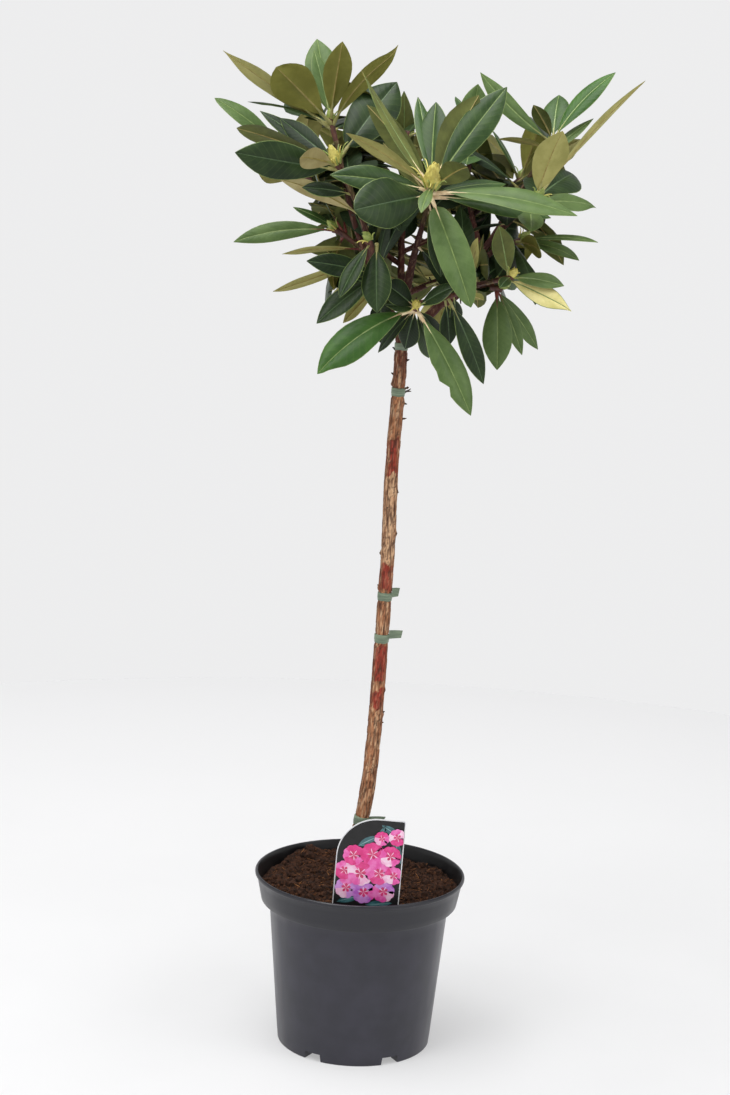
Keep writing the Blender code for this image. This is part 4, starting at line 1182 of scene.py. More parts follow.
def leaf(gathered, base, tip, face, width, arch, top, under, stalk, twist=0.0, segments=8, fine=False,
         fold=0.20, wave=0.03, phase=0.0, bites=(), tail=0.0, fullness=0.88, shape=1.22, heel=0.58,
         sweep=0.0):
    """One leaf: a stalk and a closed blade with a grooved midrib above and a raised one below."""
    chord = tip - base
    length = chord.length
    ahead = chord / length
    face = (face - ahead * face.dot(ahead)).normalized()
    side = ahead.cross(face)

    def centre(t):
        bow = 4 * t * (1 - t)
        drop = tail * max(0.0, t - 0.86) ** 1.5 * 12
        return base + ahead * length * t + face * length * (arch * bow - drop) + side * length * sweep * bow

    def axes(t):
        along = (centre(min(1.0, t + 0.01)) - centre(max(0.0, t - 0.01))).normalized()
        above = (face - along * face.dot(along)).normalized()
        if twist:
            above = Matrix.Rotation(radians(twist) * t, 3, along) @ above
        return above, along.cross(above)

    top_across, top_finish, low_across, low_finish = FINE_BLADE if fine else PLAIN_BLADE
    # painted shade: dark and shaded leaves take the dimmer midrib
    rib_above = "rib_dim" if top in ("dark", "shade") else "rib"
    wears = {"T": top, "U": under, "R": rib_above, "E": "edge", "V": "rib_under"}
    vertices, places = [], []
    for i in range(segments + 1):
        even = i / segments
        u = 0.45 * even + 0.55 * (0.5 - 0.5 * cos(pi * even))
        t = STALK_SHARE + (1 - STALK_SHARE) * u
        above, across = axes(t)
        middle = centre(t)
        half = max(width / 2 * outline_share(min(0.9999, max(0.0001, u)), fullness, shape, heel),
                   0.0011 * (1 - u) + 0.0003)
        rib = min(0.22, (0.00085 - 0.00055 * u) / half)
        edge = 1 - min(0.18, 0.00055 / half)
        nibble = {-1: 1.0, 1: 1.0}
        for at, which, deep, wide in bites:
            nibble[which] -= deep * exp(-((u - at) / wide) ** 2)

        def place(s, below, rib_depth):
            ripple = wave * sin(2 * pi * (1.4 * u + phase + (0.35 if s > 0 else 0.0))) * s * s
            rise = half * (fold * abs(s) - BLADE_CURL * abs(s) ** 3 + ripple)
            reach = half * s * nibble[-1 if s < 0 else 1]
            vertices.append(middle + across * reach + above * (rise - below - rib_depth))
            places.append((0.5 + 0.5 * s, u))

        for k, mark in enumerate(top_across):
            sign = -1 if k < len(top_across) / 2 else 1
            s = sign * rib if mark == "r" else sign * edge if mark == "e" else mark
            place(s, 0.0, 0.0004 * (1 - 0.6 * u) if s == 0.0 else 0.0)
        for k, mark in enumerate(low_across):
            s = (rib if k < len(low_across) / 2 else -rib) * 1.25 if mark == "r" else mark
            ridge = 0.0010 * (1 - 0.65 * u) if s == 0.0 else 0.0
            place(s, min(BLADE_THICKNESS, half * 0.4), min(ridge, half * 0.5))
    around = len(top_across) + len(low_across)
    faces, finishes = [], []
    for i in range(segments):
        a, b = i * around, (i + 1) * around
        for k, letter in enumerate(top_finish + low_finish):
            m = (k + 1) % around
            if k < len(top_finish):
                faces += [(a + k, b + k, b + m), (a + k, b + m, a + m)]
            else:
                faces += [(a + k, b + k, a + m), (b + k, b + m, a + m)]
            finishes += [FINISH_NUMBER[wears[letter]]] * 2
    last = segments * around
    faces += [tuple(range(around)), tuple(reversed(range(last, last + around)))]
    gathered.add(vertices, faces, finishes + [FINISH_NUMBER[stalk], FINISH_NUMBER[under]], places)

    steps, past = (8, 2.1) if fine else (4, 1.5)
    above, _ = axes(0.1)
    wide = min(0.0023, width * 0.062) if fine else min(0.0016, width * 0.050)
    stem = [centre(STALK_SHARE * past * n / steps) - above * wide * 0.45 for n in range(steps + 1)]
    gathered.add_tube(stem, lambda t: wide * (1.15 - 0.90 * t ** 1.3), 6, FINISH_NUMBER[stalk])
    return [centre(t) for t in (0.35, 0.55, 0.75, 0.95)]


# by whorl: tip across, back and up in tenths of a millimetre, turn of the upper face from the front in
# degrees, width in millimetres, arch in hundredths of its length, finishes above and below, place along the
# shoot in millimetres, edge
LEADING_LEAVES = {
    "top_left": (
        (-1734, 50, 10433, 118, 36, 2, "green", "khaki", -6, "slender"),
        (-1171, -450, 10282, 172, 43, 5, "green", "olive", -2, "blunt"),
        (-807, 550, 10601, 8, 36, 4, "grey", "olive", 0, ""),
        (-827, 350, 10484, 25, 18, 2, "grey", "olive", 4, ""),
        (-528, -300, 10560, 170, 29, 4, "green", "olive", 2, ""),
        (61, -100, 10517, 128, 30, 3, "green", "olive", -4, "hook"),
        (34, 700, 10205, 12, 48, 5, "dark", "olive", -37, "full"),
    ),
    "back_left": (
        (-1860, 800, 9964, 52, 28, 6, "grey", "khaki", -2, "blunt"),
        (-1371, 600, 9226, 150, 30, 4, "green", "khaki", -6, ""),
    ),
    "left_front": (
        (-1525, -850, 9441, -8, 38, 5, "dark", "olive", -6, ""),
        (-880, -1100, 9419, 160, 24, 10, "green", "tan", 0, ""),
        (-1539, -500, 9674, 125, 32, 4, "green", "moss", -2, "blunt"),
        (-1328, -200, 9850, 25, 16, 3, "shade", "olive", -4, ""),
        (-1121, -300, 9789, 15, 22, 3, "shade", "olive", 0, ""),
        (-1092, -600, 9197, 150, 19, 4, "green", "tan", -58, "lift"),
        (-865, -650, 9124, 40, 20, 4, "shade", "olive", -34, ""),
    ),
    "front": (
        (836, -1250, 8061, 10, 34, 7, "grey", "olive", -6, "oblong"),
        (1839, -1000, 8973, 55, 36, 6, "grey", "khaki", -4, ""),
        (1612, -600, 8927, 48, 32, 5, "green", "olive", -10, ""),
        (1154, -500, 9239, 60, 26, 5, "green", "olive", -8, ""),
        (308, -1350, 8952, 20, 13, 8, "grey", "olive", 4, ""),
        (-332, -1650, 8965, 6, 49, 8, "dark", "olive", -8, "cut"),
        (-580, -1250, 9273, 30, 28, 6, "middle", "khaki", -2, ""),
        (-447, -1000, 9674, 122, 25, 5, "green", "khaki", 0, ""),
        (-84, -300, 9587, 150, 18, 5, "green", "moss", -12, ""),
        (-326, -500, 10291, 40, 29, 2, "moss", "khaki", 2, "turned"),
        (428, -200, 10011, 15, 29, 4, "middle", "olive", 2, ""),
        (838, -600, 10093, 165, 38, 5, "green", "moss", 4, ""),
        (1114, -500, 10183, 15, 34, 5, "middle", "olive", 2, ""),
        (730, -1400, 9406, 160, 27, 10, "green", "moss", 0, ""),
        (550, -600, 8300, 20, 20, 5, "dark", "olive", -14, ""),
        (247, -100, 10054, 25, 19, 3, "green", "olive", 4, ""),
        (-259, -350, 9952, 150, 27, 6, "green", "moss", 2, ""),
    ),
    "back": (
        (114, 1000, 10120, 20, 24, 5, "moss", "olive", 0, ""),
        (169, 700, 8583, 20, 34, 5, "shade", "olive", -4, "behind"),
    ),
    "top": (
        (-403, 300, 9597, 60, 24, 4, "dark", "olive", -8, ""),
    ),
    "top_middle": (
        (865, 450, 10215, 15, 30, 4, "grey", "olive", 2, ""),
    ),
    "top_right": (
        (873, 200, 10327, 30, 22, 4, "grey", "olive", 0, "down"),
        (1416, 0, 10024, 160, 17, 5, "green", "moss", 2, ""),
        (1727, 800, 10144, 15, 28, 5, "green", "olive", 2, ""),
        (2272, 500, 10391, 40, 24, 3, "bright", "olive", 0, "up"),
        (2069, 450, 9917, 45, 14, 3, "grey", "olive", -26, ""),
        (1076, 0, 9672, 110, 20, 5, "green", "khaki", -8, ""),
    ),
    "right": (
        (2527, 0, 10310, 108, 22, 2, "green", "khaki", 0, "lift"),
        (1669, -700, 9780, 148, 38, 5, "green", "khaki", 2, ""),
        (1887, 400, 9347, 22, 42, 6, "dark", "olive", -2, "blunt"),
        (2098, -200, 9051, 50, 26, 6, "grey", "olive", -4, "tail"),
        (1394, -1000, 8804, 20, 26, 6, "grey", "olive", -8, ""),
    ),
    "back_right": (
        (1053, 900, 9756, 80, 24, 3, "green", "olive", 0, ""),
    ),
    "right_low": (
        (2101, -500, 8702, 62, 13, 3, "grey", "khaki", -4, "up"),
        (1949, -200, 8497, 60, 24, 6, "grey", "olive", -4, "up"),
        (1531, -600, 8589, 140, 24, 6, "green", "olive", -2, ""),
    ),
    "right_front": (
        (1088, -850, 8838, 10, 23, 5, "moss", "olive", 0, ""),
        (1763, -800, 8276, 45, 22, 6, "grey", "olive", 0, ""),
        (1837, -900, 8050, 20, 22, 5, "yellow", "khaki", -4, "tail"),
        (1111, -1100, 8250, 15, 12, 6, "dark", "olive", 2, ""),
    ),
    "right_hanging": (
        (1194, 100, 7321, 12, 32, 4, "grey", "olive", 0, ""),
        (1457, 300, 7467, 30, 18, 4, "grey", "olive", 0, ""),
        (1634, 500, 7512, 40, 22, 4, "grey", "olive", -4, ""),
        (940, 200, 8128, 60, 20, 4, "dark", "olive", -6, ""),
    ),
    "front_low": (
        (-633, -1100, 7334, 25, 39, 6, "bright", "olive", 0, "nicked_right"),
        (-45, -600, 7519, 55, 20, 4, "shade", "olive", -4, ""),
        (894, -1100, 6987, 30, 34, 5, "grey", "olive", 0, "nicked_left"),
        (478, -200, 7446, 30, 20, 4, "dark", "olive", -12, ""),
        (3, -900, 8022, 45, 20, 5, "dark", "olive", -4, ""),
        (693, -900, 8238, 50, 24, 5, "dark", "olive", -2, ""),
        (620, -300, 7615, 30, 18, 4, "shade", "olive", -10, ""),
        (226, -450, 7552, 20, 24, 4, "shade", "olive", -8, ""),
        (-26, -850, 8243, 25, 27, 5, "shade", "olive", -4, ""),
    ),
    "side_bud": (
        (1028, -600, 7248, 25, 24, 5, "dark", "olive", -10, ""),
        (726, -500, 7820, 30, 16, 4, "shade", "olive", -4, ""),
        (999, -400, 8074, 120, 16, 5, "green", "olive", -2, ""),
        (671, -500, 7616, 20, 20, 4, "shade", "olive", -14, ""),
    ),
    "left_low": (
        (-73, -1050, 7953, -6, 30, 5, "dark", "olive", -9, ""),
        (-445, -1100, 8087, 30, 19, 5, "dark", "olive", 0, ""),
        (-789, -800, 8414, 24, 25, 6, "shade", "olive", -44, ""),
        (-669, -700, 7793, 35, 28, 5, "dark", "olive", -42, ""),
        (-409, -500, 7792, 150, 15, 4, "green", "khaki", -60, ""),
        (-522, -500, 7837, 60, 9, 4, "dark", "khaki", -60, ""),
    ),
    "left": (
        (-1577, 200, 8515, 15, 21, 5, "grey", "khaki", 0, "up"),
        (-983, 300, 8893, 60, 18, 4, "green", "olive", -2, ""),
        (-1059, -200, 8437, 112, 18, 4, "green", "khaki", -30, ""),
        (-1137, -200, 8055, 130, 17, 5, "green", "khaki", -42, "down"),
    ),
    "back_low": (
        (1077, 700, 8912, 20, 32, 5, "shade", "olive", -2, "behind"),
        (858, 800, 8972, 20, 30, 5, "shade", "olive", -6, "behind"),
    ),
}

STALKS = {"front": "stalk_pink", "front_low": "stalk_pink", "left": "stalk_red", "back_left_low": "stalk_red",
          "right_hanging": "stalk_red"}
CROWN_EASE = 0.030            # leaves may reach this far past the mass that they stand for
BOX_EASE = 0.004              # and this far past the whole plant's box
MASS_HEART = 0.03
MASS_REACH = 0.17
ROOM_STEP = 0.005
WIDEST_SLIT = 3               # steps
OPENING_EASE = 0.006
HIDDEN_BY = 0.002
FRONT_WHORLS = ("top_left", "left_front", "front", "top_right", "right", "right_front", "front_low",
                "left_low")
EDGE_SHAPES = {
    "tail": {"tail": 0.06, "fullness": 1.2},
    "hook": {"tail": -0.10, "fullness": 1.1},
    "blunt": {"fullness": 0.68, "shape": 1.65},
    "oblong": {"fullness": 0.62, "shape": 1.0, "fold": 0.5, "heel": 0.42},
    "slender": {"fullness": 1.25},
    "turned": {"fullness": 1.25, "twist": 50},
    "full": {"heel": 0.40},
    "cut": {"fullness": 0.60, "shape": 1.35, "wave": 0.16, "fold": 0.10},
    "nicked_right": {"bites": ((0.88, -1, 0.50, 0.030), (0.66, 1, 0.06, 0.10))},
    "nicked_left": {"bites": ((0.70, 1, 0.45, 0.040), (0.50, 1, 0.12, 0.05))},
}
# how far a blade bows up or down in the front view
BOWS = {"up": 0.05, "slender": -0.04, "turned": -0.04, "lift": 0.03, "down": -0.07, "hook": 0.08,
        "nicked_right": 0.05}
GROUPS = {
    "leaves_left": ("top_left", "left_front", "left", "left_low"),
    "leaves_front": ("front", "front_low", "right_front", "side_bud"),
    "leaves_right": ("top_right", "right", "right_low", "right_hanging"),
    "leaves_middle": ("top", "top_middle"),
    "leaves_back": ("back_left", "back_right", "back", "back_low", "back_left_low"),
}


class Crown:
    """The room that the foliage fills: each mass from its middle, and their outline from the front."""

    def __init__(self):
        self.rooms = []
        corners, faces = [], []
        for name, middle, _ in MASSES:
            mesh = NODES["mass_" + name].data
            own = [v.co.copy() for v in mesh.vertices]
            polygons = [tuple(p.vertices) for p in mesh.polygons]
            self.rooms.append((Vector(middle), BVHTree.FromPolygons(own, polygons)))
            faces.extend(tuple(len(corners) + c for c in polygon) for polygon in polygons)
            corners.extend(own)
        self.whole = BVHTree.FromPolygons(corners, faces)

    def holds(self, point):
        if self.whole.ray_cast(CAMERA_PLACE, (point - CAMERA_PLACE).normalized())[0] is None:
            return False
        if not all(low - BOX_EASE < c < high + BOX_EASE for c, low, high in zip(point, *cad_box)):
            return False
        for middle, tree in self.rooms:
            away = point - middle
            far = away.length
            if far < MASS_HEART:
                return True
            if far > MASS_REACH:
                continue
            hit = tree.ray_cast(middle, away / far)
            if hit[0] is not None and hit[3] + CROWN_EASE >= far:
                return True
        return False

    def room(self, start, direction, length):
        """How far a leaf may reach before it leaves the crown; it may cross the slits between masses."""
        reach, gap, far = MASS_HEART, 0, MASS_HEART
        while reach < length and gap < WIDEST_SLIT:
            reach += ROOM_STEP
            if self.holds(start + direction * reach):
                far, gap = reach, 0
            else:
                gap += 1
        return min(far, length)


def face_from_front(base, tip, turn):
    """The upward normal of a blade, turned from the front about the leaf's length."""
    ahead = (tip - base).normalized()
    front = (CAMERA_PLACE - (base + tip) / 2).normalized()
    front = (front - ahead * front.dot(ahead)).normalized()
    side = ahead.cross(front)
    if side.z < 0:
        side = -side
    return front * cos(radians(turn)) + side * sin(radians(turn))


def front_view(point):
    """Where the front view sees a point: across, up and how deep."""
    away = point - CAMERA_PLACE
    depth = away.dot(CAMERA_AHEAD)
    return away.x / depth, away.dot(CAMERA_UPRIGHT) / depth, depth


class Foreground:
    """What the front view shows plainly: a leaf that grows by rule stays behind it."""

    def __init__(self):
        self.marks = []

    def add(self, points, reach):
        self.marks += [(*front_view(point), reach) for point in points]

    def open(self, point, reach):
        self.marks.append((*front_view(point)[:2], inf, reach + OPENING_EASE))

    def covered_by(self, points):
        marks = np.array(self.marks)
        for across, up, depth in map(front_view, points):
            near = np.hypot(marks[:, 0] - across, marks[:, 1] - up) * depth < marks[:, 3]
            if np.any(near & (marks[:, 2] > depth + HIDDEN_BY)):
                return True
        return False


# where the crown is open right through: across and height at the trunk's depth, radius
OPENINGS = (
    (-0.0901, 0.8371, 0.0064), (-0.0573, 0.8618, 0.0043), (-0.1090, 0.8515, 0.0064),
    (-0.1253, 0.8488, 0.0053), (0.1679, 0.8864, 0.0064), (0.1569, 0.8455, 0.0064),
    (0.1320, 0.8139, 0.0064), (0.1205, 0.9717, 0.0053), (0.1222, 1.0164, 0.0053),
    (0.1299, 1.0039, 0.0053), (-0.1078, 0.9041, 0.0064), (-0.0994, 0.8964, 0.0043),
    (0.1776, 0.8767, 0.0053), (0.1581, 0.8435, 0.0085), (0.1120, 0.9790, 0.0060),
    (0.1867, 0.9475, 0.0053), (0.0104, 0.9900, 0.0053),
    (-0.0848, 0.8597, 0.0064), (-0.0889, 0.8311, 0.0064), (-0.0703, 0.8002, 0.0064),
    (0.0177, 0.9863, 0.0053), (0.0131, 0.9990, 0.0043),
    (-0.1212, 0.9696, 0.0053), (-0.1342, 1.0236, 0.0053), (0.1099, 0.8648, 0.0032),
)
# bough, first and last share of it that the front view shows
OPEN_BOUGHS = (("bough_front", 0.10, 0.80), ("bough_left", 0.50, 0.85), ("bough_top_left", 0.25, 0.60),
               ("bough_left_low", 0.20, 0.60))


def shoot_place(name, along):
    """A point on a shoot this far past the middle of its whorl, or back down its bough."""
    middle, grows = WHORLS[name]
    if name in SIDE_SHOOTS:
        return middle + grows * max(along, -0.020)
    course = LIMB_COURSES[next(limb for limb, _, _, mass in LIMBS if mass == name)]
    if along > -0.75 * SEAT_RADIUS:
        return middle + grows * along
    back = -along - SEAT_RADIUS
    for i in range(len(course) - 1, 0, -1):
        step = (course[i] - course[i - 1]).length
        if back <= step:
            return course[i].lerp(course[i - 1], max(0.0, back) / step)
        back -= step
    return course[0]


GOLDEN_TURN = 2.39996
LEAST_LEAF = 0.050
LEAF_GAP = 0.0055
OLD_GROWTH = -0.03            # leaves further down a shoot than this stand as they come
SHADED_GROWTH = -0.015        # and further down than this they take the shade and moss finishes: painted shade deep in the crown
# tiers of a whorl: leaves, how far they open from the shoot, place along the shoot, length, width
TIERS = ((4, 36, 0.002, 0.084, 0.024), (6, 64, -0.002, 0.108, 0.031), (7, 90, -0.007, 0.116, 0.035),
         (5, 108, -0.018, 0.112, 0.033), (5, 84, -0.034, 0.108, 0.032), (5, 108, -0.046, 0.104, 0.031),
         (5, 82, -0.058, 0.100, 0.030), (5, 100, -0.072, 0.098, 0.030), (5, 80, -0.088, 0.094, 0.029))


def make_leaves():
    """The leading leaves of each whorl, then rings of leaves by rule wherever the crown has room."""
    crown, foreground, chance = Crown(), Foreground(), random.Random(SEED)
    gathered = {group: Gathered() for group in GROUPS}
    group_of = {name: group for group, names in GROUPS.items() for name in names}
    headings = {name: [] for name in WHORLS}
    taken = []
    for bough, first, last in OPEN_BOUGHS:
        course = LIMB_COURSES[bough]
        foreground.add(course[int(first * BOUGH_RINGS):int(last * BOUGH_RINGS):3], 0.010)
    for across, height, reach in OPENINGS:
        foreground.open(Vector((across, 0, height)), reach)
    for name, leaves in LEADING_LEAVES.items():
        for x, y, z, turn, wide, bow, top, under, along, edge in leaves:
            tip = Vector((x / 10000, y / 10000, z / 10000))
            base = shoot_place(name, along / 1000)
            face = face_from_front(base, tip, turn)
            shape = {"wave": chance.uniform(0.02, 0.06), "phase": chance.random(),
                     "fold": chance.uniform(0.18, 0.32)}
            shape.update(EDGE_SHAPES.get(edge, {}))
            if edge in BOWS:
                shape["sweep"] = copysign(BOWS[edge], (tip - base).cross(face).z * BOWS[edge])
            width = wide / 1000
            taken += leaf(gathered[group_of[name]], base, tip, face, width, bow / 100, top, under,
                          STALKS.get(name, "stalk"), segments=14, fine=True, **shape)
            if edge != "behind":
                foreground.add([base.lerp(tip, n / 8) for n in range(1, 9)], 0.005 + 0.26 * width)
            headings[name].append((tip - base).normalized())
    for name, (_, grows) in WHORLS.items():
        across = grows.orthogonal().normalized()
        first = chance.uniform(0, 2 * pi)
        number = 0
        for opens, along, length, width in (tier for count, *tier in TIERS for _ in range(count)):
            number += 1
            bearing = first + number * GOLDEN_TURN + chance.uniform(-0.2, 0.2)
            tilt = radians(opens + chance.uniform(-12, 12))
            out = Matrix.Rotation(bearing, 3, grows) @ across
            heading = (grows * cos(tilt) + out * sin(tilt) - UP * 0.10 * sin(tilt)).normalized()
            base = shoot_place(name, along + chance.uniform(-0.003, 0.003))
            want = length * chance.uniform(0.80, 1.08)
            roll = chance.uniform(-32, 32)
            picks = [chance.random() for _ in range(6)]
            if along >= OLD_GROWTH:
                if any(heading.angle(other) < radians(16) for other in headings[name]):
                    continue
                if headings[name] and name in FRONT_WHORLS and heading.y < -0.30:
                    continue
            reach = crown.room(base, heading, want)
            if reach < LEAST_LEAF:
                continue
            tip = base + heading * reach
            outer = [tip.lerp(base, share) for share in (0.0, 0.3, 0.6)]
            if any((p - other).length < LEAF_GAP for other in taken for p in outer):
                continue
            if foreground.covered_by([base.lerp(tip, n / 6) for n in range(2, 7)]):
                continue
            face = grows * 0.7 + UP * 0.6
            face = (face - heading * face.dot(heading)).normalized()
            face = Matrix.Rotation(radians(roll), 3, heading) @ face
            top = ("dark", "green", "dark", "green", "dark")[int(picks[0] * 5)]
            under = ("olive", "khaki", "olive")[int(picks[1] * 3)]
            # painted shade: older leaves deep in the crown get the dark shade top and the moss underside
            if along < SHADED_GROWTH:
                top, under = "shade", "moss"
            size = min(1.0, reach / want)
            taken += leaf(gathered[group_of[name]], base, tip, face,
                          width * (0.75 + 0.25 * size) * (0.88 + 0.24 * picks[2]), 0.03 + 0.08 * picks[3],
                          top, under, STALKS.get(name, "stalk"), twist=(picks[4] - 0.5) * 30,
                          wave=0.02 + 0.06 * picks[5], phase=picks[2], fold=0.14 + 0.12 * picks[4])
            headings[name].append(heading)
    for group, parts in gathered.items():
        placed = finished(group, parts.mesh(group), *LEAF_FINISHES.values(), angle=70)
        masses = ["mass_" + name for name in GROUPS[group] if name not in SIDE_SHOOTS]
        hand_over(placed, "leaf_green", *masses)


make_leaves()

# -------------------------------------------------------------------------- buds

BUD_FINISHES = (
    soft_stalk("bud_yellow", tone(228, 216, 122), tone(186, 172, 84), 0.45),
    soft_stalk("bud_green", tone(168, 178, 96), tone(128, 146, 70), 0.45),
    soft_stalk("bud_brown", tone(150, 112, 62), tone(110, 76, 44), 0.6),
)
# whorl: length and width of its bud, how far it stands above the whorl, finish
BUDS = {
    "front": (0.029, 0.0160, 0.002, 0), "left_front": (0.021, 0.0095, 0.002, 0),
    "side_bud": (0.012, 0.0085, 0.001, 2), "front_low": (0.011, 0.0080, 0.004, 0),
    "right_front": (0.011, 0.0080, 0.003, 0), "top_left": (0.012, 0.0070, 0.002, 1),
    "top": (0.007, 0.0045, 0.0, 1), "top_right": (0.008, 0.0050, 0.0, 1),
}
SCALE_ROWS = 7
PLAIN_BUD = (0.013, 0.0080, 0.003, 1)


def bud_swell(share):
    """Half width of a bud at a share of its length, as a share of its width: full low down, pointed above."""
    return 0.5 * sin(pi * (0.10 + 0.88 * share ** 0.74)) ** 0.85


def bud_scale(gathered, foot, axis, out, length, width, first, finish):
    """One scale: a thin closed shell that hugs the bud from a share of its length up, its tip proud."""
    last = min(1.0, first + 0.46)
    side = axis.cross(out)
    vertices = []
    for t in (i / SCALE_ROWS for i in range(SCALE_ROWS + 1)):
        share = first + (last - first) * t
        belly = width * bud_swell(min(1.0, share)) + 0.0002 + width * 0.060 * t * t
        half = width * 0.42 * sin(pi * min(0.985, 0.24 + 0.75 * t)) ** 0.8
        for s, proud in ((-1, 0.0), (0, width * 0.045), (1, 0.0), (0, -0.0003)):
            turn = max(-1.3, min(1.3, s * half / max(belly, 0.0010)))
            vertices.append(foot + axis * length * share + spoke(out, side, turn) * (belly + proud))
    gathered.add(vertices, [tuple(reversed(f)) for f in slab_faces(SCALE_ROWS)], finish)


def make_buds():
    """A bud on every whorl: its core, its scales, and the curled bracts round its foot."""
    chance = random.Random(SEED + 9)
    gathered = Gathered()
    for name, (middle, grows) in WHORLS.items():
        length, width, stands, finish = BUDS.get(name, PLAIN_BUD)
        grows = (grows + UP * 0.6).normalized()
        foot = middle + grows * stands
        across = grows.orthogonal().normalized()
        core = [ring_at(foot + grows * length * n / 10, across, grows.cross(across),
                        max(0.0003, width * bud_swell(n / 10) - 0.0002), 12) for n in range(11)]
        gathered.add(*capped(core), finish)
        scales, bracts = (21, 13) if length > 0.018 else (12, 4)
        for k in range(scales):
            out = Matrix.Rotation(k * GOLDEN_TURN + chance.uniform(-0.1, 0.1), 3, grows) @ across
            bud_scale(gathered, foot, grows, out, length, width, 0.60 * k / scales, finish)
        for k in range(bracts):
            out = Matrix.Rotation(k * GOLDEN_TURN + chance.uniform(-0.3, 0.3), 3, grows) @ across
            root = foot + out * width * 0.38
            reach = chance.uniform(0.55, 1.15) * length
            mid = root + (out * chance.uniform(0.25, 0.60) + grows).normalized() * reach * 0.55
            curl = mid + (grows * 0.5 + out * chance.uniform(0.1, 1.0)).normalized() * reach * 0.35
            end = curl + (out * 0.9 - grows * chance.uniform(-0.3, 0.6)).normalized() * reach * 0.22
            gathered.add_tube(bezier_course(root, mid, curl, end, 11), lambda t: 0.00095 - 0.00055 * t, 5,
                              1 if k % 3 else 0)
    hand_over(finished("buds", gathered.mesh("buds", outward=True), *BUD_FINISHES, angle=60), "leaf_green")


make_buds()

# ------------------------------------------------------------------------- label

CARD_WHITE = print_ink("card_white", tone(232, 232, 234), tone(214, 214, 218))
INK_BLACK = print_ink("ink_black", tone(12, 11, 12), tone(22, 21, 22), 0.5, coat=0.0)
PETAL_INKS = (
    print_ink("petal_pink", tone(230, 74, 164), tone(240, 124, 194)),
    print_ink("petal_rose", tone(216, 30, 122), tone(232, 66, 148)),
    print_ink("petal_pale", tone(250, 214, 234), tone(244, 168, 210)),
    print_ink("petal_lilac", tone(186, 98, 200), tone(212, 148, 220)),
)
INK_THROAT = print_ink("flower_throat", tone(198, 34, 96), tone(222, 60, 120))
INK_LEAF = print_ink("printed_leaf", tone(44, 88, 96), tone(78, 128, 132))
INK_LEAF_RIB = print_ink("printed_leaf_rib", tone(150, 190, 190), tone(120, 168, 172))


def label_outline(inset=0.0, stem=True):
    """The card's outline, with a large round shoulder at the left, and with or without its stem."""
    half = LABEL_WIDTH / 2 - inset
    tall = LABEL_TOP - LABEL_FOOT - inset
    wide, deep = LABEL_STEM_WIDTH / 2, -LABEL_STEM_DEPTH
    foot = 0.0 if stem else inset
    stem_points = [(-wide, -0.006), (-wide / 2, deep), (wide / 2, deep), (wide, -0.006)] if stem else []
    points = [(-half, foot), *stem_points, (half, foot)]
    for turn in (pi / 2 * n / 4 for n in range(5)):
        points.append((half - LABEL_CORNER * (1 - cos(turn)), tall - LABEL_CORNER * (1 - sin(turn))))
    radius = LABEL_SHOULDER - inset
    for turn in (pi / 2 * (1 + n / 24) for n in range(25)):
        points.append((-half + radius * (1 + cos(turn)), tall - radius * (1 - sin(turn))))
    return points


LABEL_PLACE = Matrix.Translation((*LABEL_MIDDLE, LABEL_FOOT)) @ Matrix.Rotation(LABEL_LEAN, 4, "Y")


def inside_print(x, z, inset=0.0007):
    half = LABEL_WIDTH / 2 - inset
    tall = LABEL_TOP - LABEL_FOOT - inset
    if not (-half <= x <= half and 0.0005 <= z <= tall):
        return False
    radius = LABEL_SHOULDER - inset
    cx, cz = -half + radius, tall - radius
    return not (x < cx and z > cz and hypot(x - cx, z - cz) > radius)


def flat_shape(gathered, points, layer, finish):
    """A printed shape: a flat face this many ink layers in front of the card."""
    kept = []
    for x, z in points:
        while not inside_print(x, z) and (abs(x) > 0.001 or abs(z - 0.05) > 0.001):
            x, z = x * 0.985, 0.05 + (z - 0.05) * 0.985
        kept.append((x, z))
    front = -(LABEL_THICKNESS / 2 + 0.00003 * layer)
    vertices = [LABEL_PLACE @ Vector((x, front, z)) for x, z in kept]
    count = len(vertices)
    vertices.append(sum(vertices, Vector()) / count)
    gathered.add(vertices, [(s, (s + 1) % count, count) for s in range(count)], finish)


def turned(x, z, bearing, points):
    """Points of a printed shape, turned and moved to their place on the card."""
    return [(x + a * cos(bearing) - b * sin(bearing), z + a * sin(bearing) + b * cos(bearing))
            for a, b in points]


def petal(x, z, bearing, reach, width, notch):
    """Outline of a wavy petal that opens from a flower's middle."""
    points = []
    for turn in ((n / 12 - 0.5) * 2 for n in range(13)):
        out = reach * (1 - 0.30 * turn * turn) * (1 - notch * exp(-(turn / 0.18) ** 2))
        points.append((out * cos(turn * 0.55), width * sin(turn * 1.35)))
    return turned(x, z, bearing, points) + [(x, z)]


def printed_leaf(gathered, x, z, bearing, length, layer):
    width = PRINTED_LEAF_WIDTH
    blade = [(length * t, width * sin(pi * t ** 0.9)) for t in (n / 16 for n in range(17))]
    blade += [(length * t, -width * sin(pi * t ** 0.9)) for t in (0.85, 0.7, 0.5, 0.3, 0.15)]
    rib = [(0.0, 0.0), (length * 0.5, -width * 0.10), (length * 0.96, 0.0), (length * 0.5, width * 0.10)]
    flat_shape(gathered, turned(x, z, bearing, blade), layer, 7)
    flat_shape(gathered, turned(x, z, bearing, rib), layer + 1, 8)


